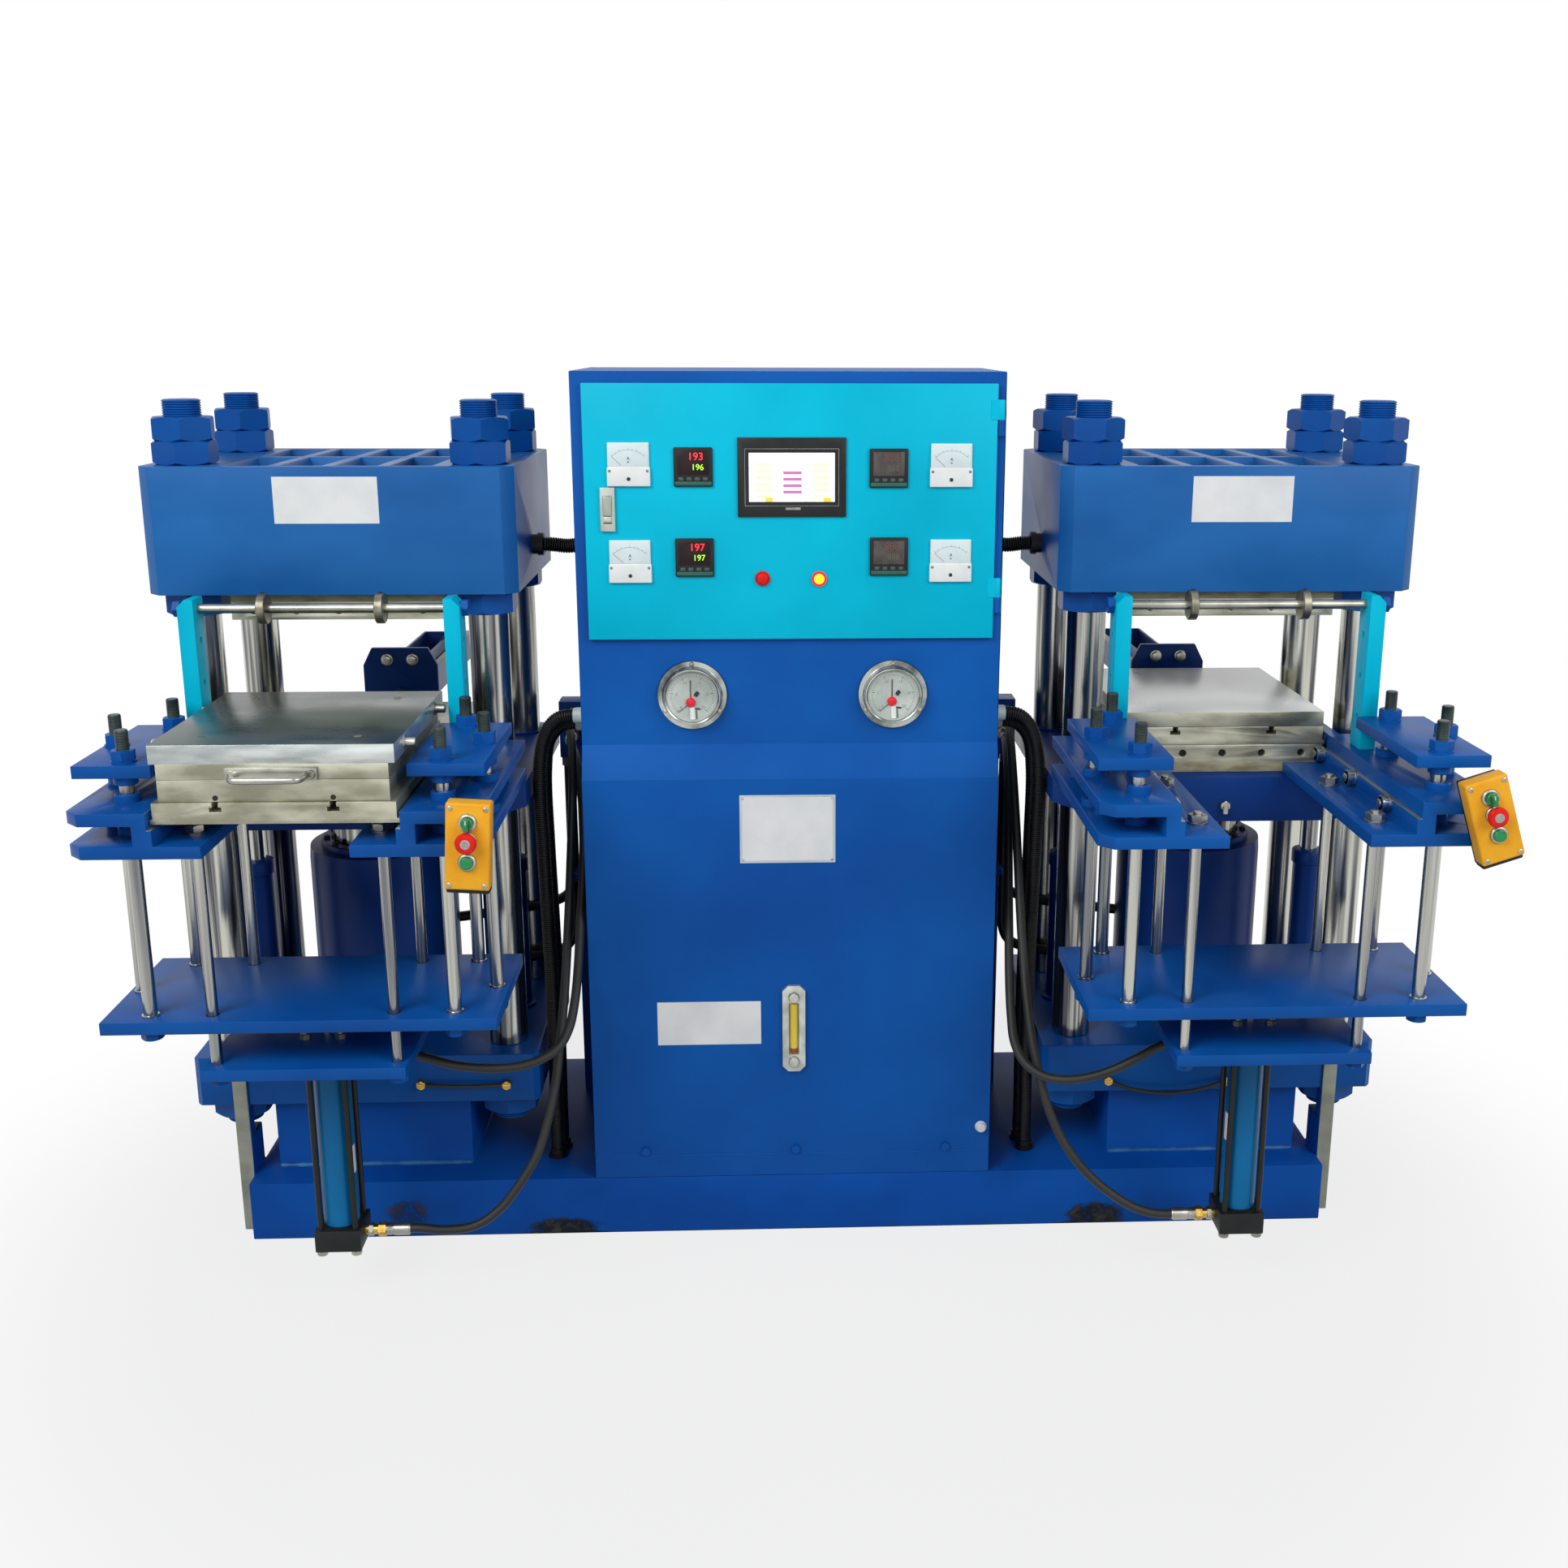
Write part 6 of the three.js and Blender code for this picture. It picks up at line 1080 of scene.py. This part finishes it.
# Door lock. A die-cast handle lies in a shallow grey plate, with a push key under it and a cam
# behind the door that it turns.
lock_grey = surface("lock_grey", (186, 192, 182), (168, 174, 166), 0.38, 0.5, cloud=(30, 30, 20), dent=0.06)
handle_grey = surface("handle_grey", (160, 170, 160), (142, 152, 144), 0.34, 0.5, cloud=(30, 30, 20),
    dent=0.06)
lock_low, lock_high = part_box("door_lock")
plate_middle = (lock_low[0] + lock_high[0]) / 2
handle = slab(handle_grey, plate_middle - 0.0085, plate_middle + 0.0085, lock_low[1], -0.0170,
    lock_high[2] - 0.053, lock_high[2] - 0.015, 0.0022, 3)
solids = [
    slab(lock_grey, lock_low[0], lock_high[0], -0.0195, -0.0126, lock_low[2], lock_high[2], 0.0018, 3),
    handle,
    slab(lock_grey, plate_middle - 0.0070, plate_middle + 0.0070, -0.0235, -0.0170, lock_high[2] - 0.0640,
        lock_high[2] - 0.0538, 0.0010),
    # A thin dark strip under the push key: painted shade in the gap.
    slab(hole_painted_shade, plate_middle - 0.0082, plate_middle + 0.0082, -0.0200, -0.0190, lock_high[2] - 0.0668,
        lock_high[2] - 0.0650, 0.0003, 1),
    turned(plated_steel, (lock_x, -0.0130, lock_z), "Y", [(0, 16), (19.5, 16), (20, 15)], 24),
    slab(plated_steel, lock_x - 0.007, lock_x + 0.007, 0.006, 0.009, lock_z - 0.007, lock_z + 0.030,
        0.0008)]
together("lock_handle", "lock", solids, ["door_lock"], crease=30)

# Pressure gauges. Polished steel cases with a wide flange and three screws. White dials with a swept scale
# and figures, a dark needle and smaller dark and white hands round a red hub.
needle_brown = surface("needle_brown", (92, 80, 74), (64, 58, 56), 0.4, cloud=60, dent=0.02)
hub_red = surface("hub_red", (240, 22, 48), (222, 12, 36), 0.35, cloud=60, dent=0.02)
case_steel = surface("case_steel", (176, 181, 176), (86, 92, 92), 0.2, 0.95, cloud=16, dent=0.03,
    gloss_spread=0.1, span=(0.36, 0.6))
dial_grey = surface("dial_grey", (204, 215, 207), (160, 170, 164), 0.35, cloud=14, dent=0.01, shine=0.4)
dial_numbers = ("0", "5", "10", "15", "20", "25")
scale_radius, figure_radius, screw_radius = 0.0420, 0.0300, 0.0605
for label, gx, gz in (("left", -0.18907, 1.131), ("right", 0.19715, 1.131)):
    case = turned(case_steel, (gx, -0.0003, gz), "-Y", [(0, 132), (1.5, 134), (4.5, 134), (6, 132),
        (6, 116), (7, 113.5), (22, 110), (25.5, 108), (26, 104), (24.5, 100), (18, 98.5), (18, 2)], 96)
    rear = [
        turned(cast_black, (gx, -0.001, gz), "Y", [(0, 98), (44, 98), (46, 94)], 48),
        bar(brass, (gx, 0.044, gz), "Y", 0.025, 0.014),
        hexagon(brass, (gx, 0.050, gz), "Y", 0.010, 0.022)]
    face = [turned(dial_grey, (gx, -0.0178, gz), "-Y", [(0, 98.4), (1.2, 98.4), (1.2, 2)], 64)]
    for i in range(41):
        angle = math.radians(225 - i * 270 / 40)
        long_mark = i % 8 == 0
        reach = 0.006 if long_mark else 0.0035
        face.append(tick(needle_brown, around((gx, gz), scale_radius - reach / 2, angle), angle, reach,
            0.0011 if long_mark else 0.0007, -0.0191))
    for i, figure in enumerate(dial_numbers):
        angle = math.radians(225 - i * 54)
        face.append(letters(scale_grey, figure, around((gx, -0.0190, gz), figure_radius, angle), 0.0080,
            0.0002))
    for i in range(3):
        angle = math.radians(90 + i * 120)
        rear.append(turned(plated_steel, around((gx, -0.0060, gz), screw_radius, angle), "-Y",
            [(0, 9.5), (2, 9.5), (3.5, 7.5), (4, 4)], 20))
    hub_x, hub_z = gx - 0.0025, gz - 0.0110
    face += [
        tick(needle_brown, (hub_x, hub_z + 0.0215), math.radians(90), 0.043, 0.0022, -0.0199),
        tick(dial_black, (hub_x + 0.0115, hub_z + 0.0165), math.radians(54), 0.0100, 0.0070, -0.0203),
        tick(white_mould, (hub_x + 0.0030, hub_z - 0.0210), math.radians(-88), 0.0240, 0.0095, -0.0203),
        tick(needle_brown, (hub_x - 0.0140, hub_z - 0.0115), math.radians(219), 0.0250, 0.0012, -0.0203),
        tick(dial_black, (hub_x + 0.0135, hub_z - 0.0125), math.radians(-6), 0.0100, 0.0028, -0.0203),
        tick(needle_brown, (hub_x + 0.0110, hub_z - 0.0240), math.radians(-87), 0.0180, 0.0016, -0.0203),
        turned(hub_red, (hub_x, -0.0188, hub_z), "-Y", [(0, 18), (3.2, 18), (5, 15.5), (6, 10)], 32)]
    together(f"pressure_dial_{label}", "frame", [case, *rear, *face],
        [f"pressure_gauge_{label}"])

# Oil level gauge. An alloy frame on the cabinet's front, held by two plated bolts, with a tube of amber
# oil. A rust-red float rests at the bottom of the tube, and a plain steel strip shows at both its sides.
oil = surface("oil", (232, 206, 40), (214, 178, 28), 0.2, cloud=(20, 20, 8), dent=0.02, coat=0.6)
frame_alloy = surface("frame_alloy", (206, 211, 205), (168, 174, 168), 0.34, 0.5, cloud=30, dent=0.04)
rust_red = surface("rust_red", (150, 72, 28), (120, 50, 20), 0.5, cloud=90, dent=0.05)
solids = [
    bevelled("oil_level_gauge", frame_alloy, edge=0.0008),
    turned(oil, (0.003, -0.0335, 0.399), "Z", [(0, 12), (2, 15.5), (104, 15.5), (106, 12)], 32),
    slab(leg_steel, -0.0068, 0.0128, -0.0340, -0.0330, 0.3975, 0.5065, 0.0003, 1),
    turned(rust_red, (0.003, -0.0335, 0.401), "Z", [(0, 15.7), (10, 15.7)], 32)]
for z in (0.383, 0.521):
    solids.append(turned(plated_steel, (0.003, -0.0380, z), "-Y", [(0, 22), (6, 22), (8, 19), (8, 9),
        (4, 9)], 32))
together("level_gauge", "frame", solids, ["oil_level_gauge"], crease=30)

# Blank plates. A pale aluminium sheet with a thin rim, held by four rivets, and a plain white
# sticker below.
plate_aluminium = surface("plate_aluminium", (196, 206, 214), (178, 190, 200), 0.42, 0.2, cloud=8,
    grain=(900, 60, 60), dent=0.08)
solids = [
    slab(plate_aluminium, -0.101, 0.086, -0.0291, -0.0278, 0.799, 0.937, 0.0004, 1),
    slab(blank_white, -0.096, 0.081, -0.0295, -0.0286, 0.804, 0.932, 0.0003, 1)]
for rx in (-0.0945, 0.0795):
    for rz in (0.8055, 0.9305):
        solids.append(turned(plated_steel, (rx, -0.0290, rz), "-Y", [(0, 5), (1.2, 4.5), (1.8, 2)], 16))
together("name_plate_blank", "frame", solids)
sticker = slab(blank_white, -0.270, -0.063, -0.0289, -0.0278, 0.417, 0.509, 0.0003, 1)
together("warning_plate_blank", "frame", [sticker])

# Hydraulic unit. Behind the cabinet an oil tank with a folded lid carries a finned motor with its pump, a
# valve stack and, at each side, a port block for the ejector hoses.
unit_enamel = surface("unit_enamel", (10, 70, 150), (7, 54, 124), 0.42, cloud=3, dent=0.12, shine=0.14)
motor_grey = surface("motor_grey", (112, 120, 126), (88, 96, 102), 0.5, 0.2, cloud=12, dent=0.2)
motor_left, motor_right, motor_y, motor_z = -0.260, 0.140, 0.6417, 0.7907
solids = [bevelled("hydraulic_unit", unit_enamel, edge=0.0014)]
for finish, end_x, axis, sides, profile in (
        (motor_grey, motor_left + 0.012, "-X", 48, [(0, 224), (40, 224), (56, 212), (64, 190), (64, 150),
            (60, 146)]),
        (motor_grey, motor_right - 0.012, "X", 48, [(0, 226), (20, 226), (28, 200), (30, 164)]),
        (motor_grey, motor_right, "X", 48, [(0, 166), (110, 162), (112, 176), (124, 176)]),
        (cast_black, motor_right + 0.119, "X", 40, [(0, 114), (70, 114), (72, 104), (115, 104), (128, 94),
            (132, 80)])):
    solids.append(turned(finish, (end_x, motor_y, motor_z), axis, profile, sides))
filler = [(0, 60), (6, 60), (8, 46), (30, 46), (31, 70), (60, 70), (64, 62)]
solids.append(turned(cast_black, (-0.36, 0.80, 0.6450), "Z", filler, 32))
together("power_unit", "frame", solids, ["hydraulic_unit"])

# Tank lid and cleaning cover. A folded lid sits on the tank under a row of bolts, and the tank's back has a
# round cover on a gasket, a drain plug and a clear level gauge.
tank_reach, tank_front, tank_back, tank_top = 0.470, 0.392, 0.872, 0.645
lid_overhang, lid_drop = 0.004, 0.018
solids = [slab(unit_enamel, -tank_reach - lid_overhang, tank_reach + lid_overhang,
    tank_front - lid_overhang, tank_back + lid_overhang, tank_top - lid_drop, tank_top - 0.0008, 0.002)]
for i in range(7):
    solids.append(hexagon(plated_steel, (-0.42 + i * 0.14, tank_back - 0.016, tank_top - 0.0009), "Z",
        0.007, 0.013))
for way in (-1, 1):
    for bolt_y in (0.54, 0.70):
        solids.append(hexagon(plated_steel, (way * 0.452, bolt_y, tank_top - 0.0009), "Z", 0.007, 0.013))
cover_x, cover_z, cover_bolt_radius = -0.215, 0.380, 0.0989
solids += [
    turned(black_nylon, (cover_x, tank_back - 0.0003, cover_z), "Y", [(0, 234), (2, 234)], 64),
    turned(unit_enamel, (cover_x, tank_back + 0.0015, cover_z), "Y", [(0, 230), (6, 230), (7.2, 227)], 64),
    hexagon(plated_steel, (0.30, tank_back - 0.0002, 0.165), "Y", 0.010, 0.024)]
for i in range(8):
    place = around((cover_x, tank_back + 0.0085, cover_z), cover_bolt_radius, math.radians(22.5 + i * 45))
    solids.append(hexagon(plated_steel, place, "Y", 0.007, 0.013))
gauge_x, gauge_low, gauge_high = 0.255, 0.300, 0.470
solids.append(slab(frame_alloy, gauge_x - 0.016, gauge_x + 0.016, tank_back - 0.0003, tank_back + 0.010,
    gauge_low, gauge_high, 0.002, 3))
solids.append(turned(oil, (gauge_x, tank_back + 0.0085, gauge_low + 0.035), "Z",
    [(0, 10), (2, 13), (98, 13), (100, 10)], 32))
for z in (gauge_low + 0.018, gauge_high - 0.018):
    solids.append(hexagon(plated_steel, (gauge_x, tank_back + 0.0098, z), "Y", 0.006, 0.015))
together("tank_covers", "frame", solids)

# Pressure pipes. Plated steel tube, bent and held by hexagon nuts. A riser leaves the pump for a tee in the
# cross tube that joins the two port blocks.
block_inner_face, cross_y, cross_z, pump_port_x = 0.440, 0.460, 0.965, 0.345
pump_top_z, pipe_size = 0.842, 0.020
rise = ((motor_y, pump_top_z), (motor_y, 0.900), (motor_y, 0.930), (0.630, 0.953), (0.606, cross_z),
    (0.560, cross_z), (cross_y, cross_z))
riser = smooth_line([(pump_port_x, y, z) for y, z in rise], 6)
solids = [
    tube_along(plated_steel, riser, pipe_size),
    bar(plated_steel, (-block_inner_face - 0.0003, cross_y, cross_z), "X", 2 * block_inner_face + 0.0006,
        pipe_size),
    hexagon(plated_steel, (pump_port_x, motor_y, pump_top_z - 0.001), "Z", 0.018, 0.027),
    slab(plated_steel, pump_port_x - 0.022, pump_port_x + 0.022, cross_y - 0.014, cross_y + 0.024,
        cross_z - 0.014, cross_z + 0.014, 0.003, 3)]
for way in (-1, 1):
    solids.append(hexagon(plated_steel, (way * (block_inner_face + 0.0002), cross_y, cross_z),
        sideways[-way], 0.020, 0.027))
together("pressure_pipes", "frame", solids)

# Cabinet back. A flat sheet-steel panel is screwed over the back of the electrical compartment, with
# two fields of pressed louvres.
cabinet_back = 0.372
solids = [slab(cabinet_enamel, -0.368, 0.368, cabinet_back - 0.0004, cabinet_back + 0.0022, 1.060, 1.700,
    0.001)]
for screw_x in (-0.352, 0, 0.352):
    for screw_z in (1.076, 1.380, 1.684):
        if screw_x or screw_z != 1.380:
            solids.append(turned(plated_steel, (screw_x, cabinet_back + 0.0020, screw_z), "Y",
                [(0, 12), (1, 12), (2.6, 8), (2.8, 4)], 20))
for field_z in (1.150, 1.540):
    for way in (-1, 1):
        for i in range(6):
            louvre = turned(cabinet_enamel, (way * 0.180 - 0.060, cabinet_back + 0.0020,
                field_z + i * 0.018), "X", [(0, 4), (4, 11), (116, 11), (120, 4)], 12)
            solids.append(louvre)
together("cabinet_rear_panel", "frame", solids)

# Oil pipes. Two bent steel tubes, painted black, run from the foot of each port block to the main cylinder
# beside it. Each ends in a plated nut.
# Their black is paint and also painted shade: the pipes darken the space between the cabinet and each press,
# which lies in shade among black hoses.
black_pipe_and_painted_shade = surface("black_pipe_and_painted_shade", (30, 31, 32), (16, 17, 18), 0.45, cloud=(30, 30, 8), dent=0.08,
    shine=0.35)
pipe_diameter = 0.022
for side, x, inner in presses:
    way = -inner
    barrel_x, barrel_y, barrel_reach = abs(x), press_middle, 0.152
    solids = []
    for start_y, turn_z in ((0.446, 0.448), (0.474, 0.560)):
        toward_barrel = Vector((barrel_x - 0.486, barrel_y - start_y)).normalized()
        near_x, near_y = barrel_x - toward_barrel.x * barrel_reach, barrel_y - toward_barrel.y * barrel_reach
        route = [(0.486, start_y, 0.8990), (0.486, start_y, 0.84), (0.486, start_y, 0.74),
            (0.486, start_y, turn_z + 0.10), (0.488, start_y - 0.001, turn_z + 0.045),
            (0.500, start_y - 0.006, turn_z + 0.014), (0.530, start_y + toward_barrel.y * 0.05, turn_z),
            (near_x - 0.03, near_y + 0.0115, turn_z), (near_x, near_y, turn_z)]
        line = smooth_line([(way * px, py, pz) for px, py, pz in route], 6)
        solids.append(tube_along(black_pipe_and_painted_shade, line, pipe_diameter))
        solids.append(hexagon(plated_steel, (way * 0.486, start_y, 0.8995), "-Z", 0.020, 0.027))
    together(f"{side}_oil_pipes", "frame", solids)

# Heater conduits. Two more black corrugated pipes leave a pale nylon gland high on each side of the cabinet
# and run down beside the hoses into the base, where their cables go on to the heaters.
gland_nylon = surface("gland_nylon", (196, 212, 206), (176, 192, 188), 0.45, cloud=40, dent=0.08)
for side, x, inner in presses:
    way = -inner
    solids = []
    for conduit_y, gland_z, down_x in ((0.075, 1.075, 0.497), (0.118, 1.050, 0.492)):
        route = [(0.4045, conduit_y, gland_z), (0.430, conduit_y, gland_z),
            (0.458, conduit_y, gland_z - 0.006), (0.482, conduit_y, gland_z - 0.034),
            (down_x, conduit_y, gland_z - 0.095), (down_x, conduit_y, 0.80),
            (down_x - 0.004, conduit_y, 0.60), (down_x - 0.006, conduit_y, 0.40),
            (down_x - 0.004, conduit_y, 0.22), (down_x - 0.004, conduit_y, 0.1255)]
        solids.append(corrugated([(way * px, py, pz) for px, py, pz in route], 0.0270, 0.0235))
        solids.append(turned(gland_nylon, (way * 0.4035, conduit_y, gland_z), sideways[way],
            [(0, 36), (8, 36), (8.5, 32), (20, 31), (24, 28)], 32))
        solids.append(turned(black_nylon, (way * (down_x - 0.004), conduit_y, 0.1250), "Z",
            [(0, 40), (8, 40), (8.5, 34), (20, 33)], 32))
    together(f"{side}_heater_conduits", "frame", solids)

# Floor and light. A pale floor that fades into a white surround, two soft lamps above the front and one low
# on the left, as in a bright workshop.
def shown_rays(tree):
    """One for a ray that the camera, a mirror or a glass sends, and nought for the light on the object."""
    rays = add_node(tree, "LightPath").outputs
    direct = add_node(tree, "Math", fed={0: rays["Is Camera Ray"], 1: rays["Is Glossy Ray"]},
        operation="MAXIMUM")
    return add_node(tree, "Math", fed={0: direct.outputs["Value"], 1: rays["Is Transmission Ray"]},
        operation="MAXIMUM").outputs["Value"]


def mixed(tree, share, first, second, end):
    """Blends two shaders by a share and ends the tree with them."""
    mix = add_node(tree, "MixShader", fed={0: share, 1: first, 2: second})
    tree.links.new(mix.outputs["Shader"], tree.nodes[end].inputs["Surface"])


floor_pale = surface("floor_pale", (176, 176, 176), (170, 170, 170), 0.7, cloud=1, dent=0.02)
floor_near, floor_far, floor_lift = 1.15, 2.1, 0.8
tree = floor_pale.node_tree
place = add_node(tree, "TexCoord").outputs["Object"]
reach = add_node(tree, "VectorMath", fed={0: place}, operation="LENGTH")
fade = add_node(tree, "MapRange", {"From Min": floor_near, "From Max": floor_far, "To Min": floor_lift,
    "To Max": 1.0}, {"Value": reach.outputs["Value"]})
fade.interpolation_type = "SMOOTHSTEP"
shown = add_node(tree, "Math", fed={0: fade.outputs["Result"], 1: shown_rays(tree)}, operation="MULTIPLY")
mixed(tree, shown.outputs["Value"], tree.nodes["Principled BSDF"].outputs["BSDF"],
    add_node(tree, "Emission").outputs["Emission"], "Material Output")
bpy.ops.mesh.primitive_plane_add(size=40, location=(0, 0, 0))
floor = shaped(bpy.context.active_object, floor_pale)
floor.name = "floor"
lamps = (
    ("key_lamp", (-2.6, -3.2, 4.0), (0, 0.2, 0.8), 2.6, 140),
    ("fill_lamp", (3.0, -3.0, 3.2), (0, 0.2, 0.8), 2.6, 84),
    ("low_lamp", (-0.6, -4.2, 1.4), (0, 0, 0.7), 2.0, 10))
for name, spot, aim, size, power in lamps:
    bpy.ops.object.light_add(type="AREA", location=spot)
    lamp = bpy.context.active_object
    lamp.name = name
    lamp.data.size, lamp.data.energy = size, power
    lamp.rotation_euler = (Vector(aim) - Vector(spot)).to_track_quat("-Z", "Y").to_euler()
world = bpy.data.worlds.new("surround")
bpy.context.scene.world = world
world.use_nodes = True
tree = world.node_tree
ambient = tree.nodes["Background"]
ambient.inputs["Color"].default_value, ambient.inputs["Strength"].default_value = (1, 1, 1, 1), 0.24
white = add_node(tree, "Background", {"Color": (1, 1, 1, 1), "Strength": 1.0})
mixed(tree, shown_rays(tree), ambient.outputs["Background"], white.outputs["Background"], "World Output")
bpy.context.scene.view_settings.view_transform = "Standard"
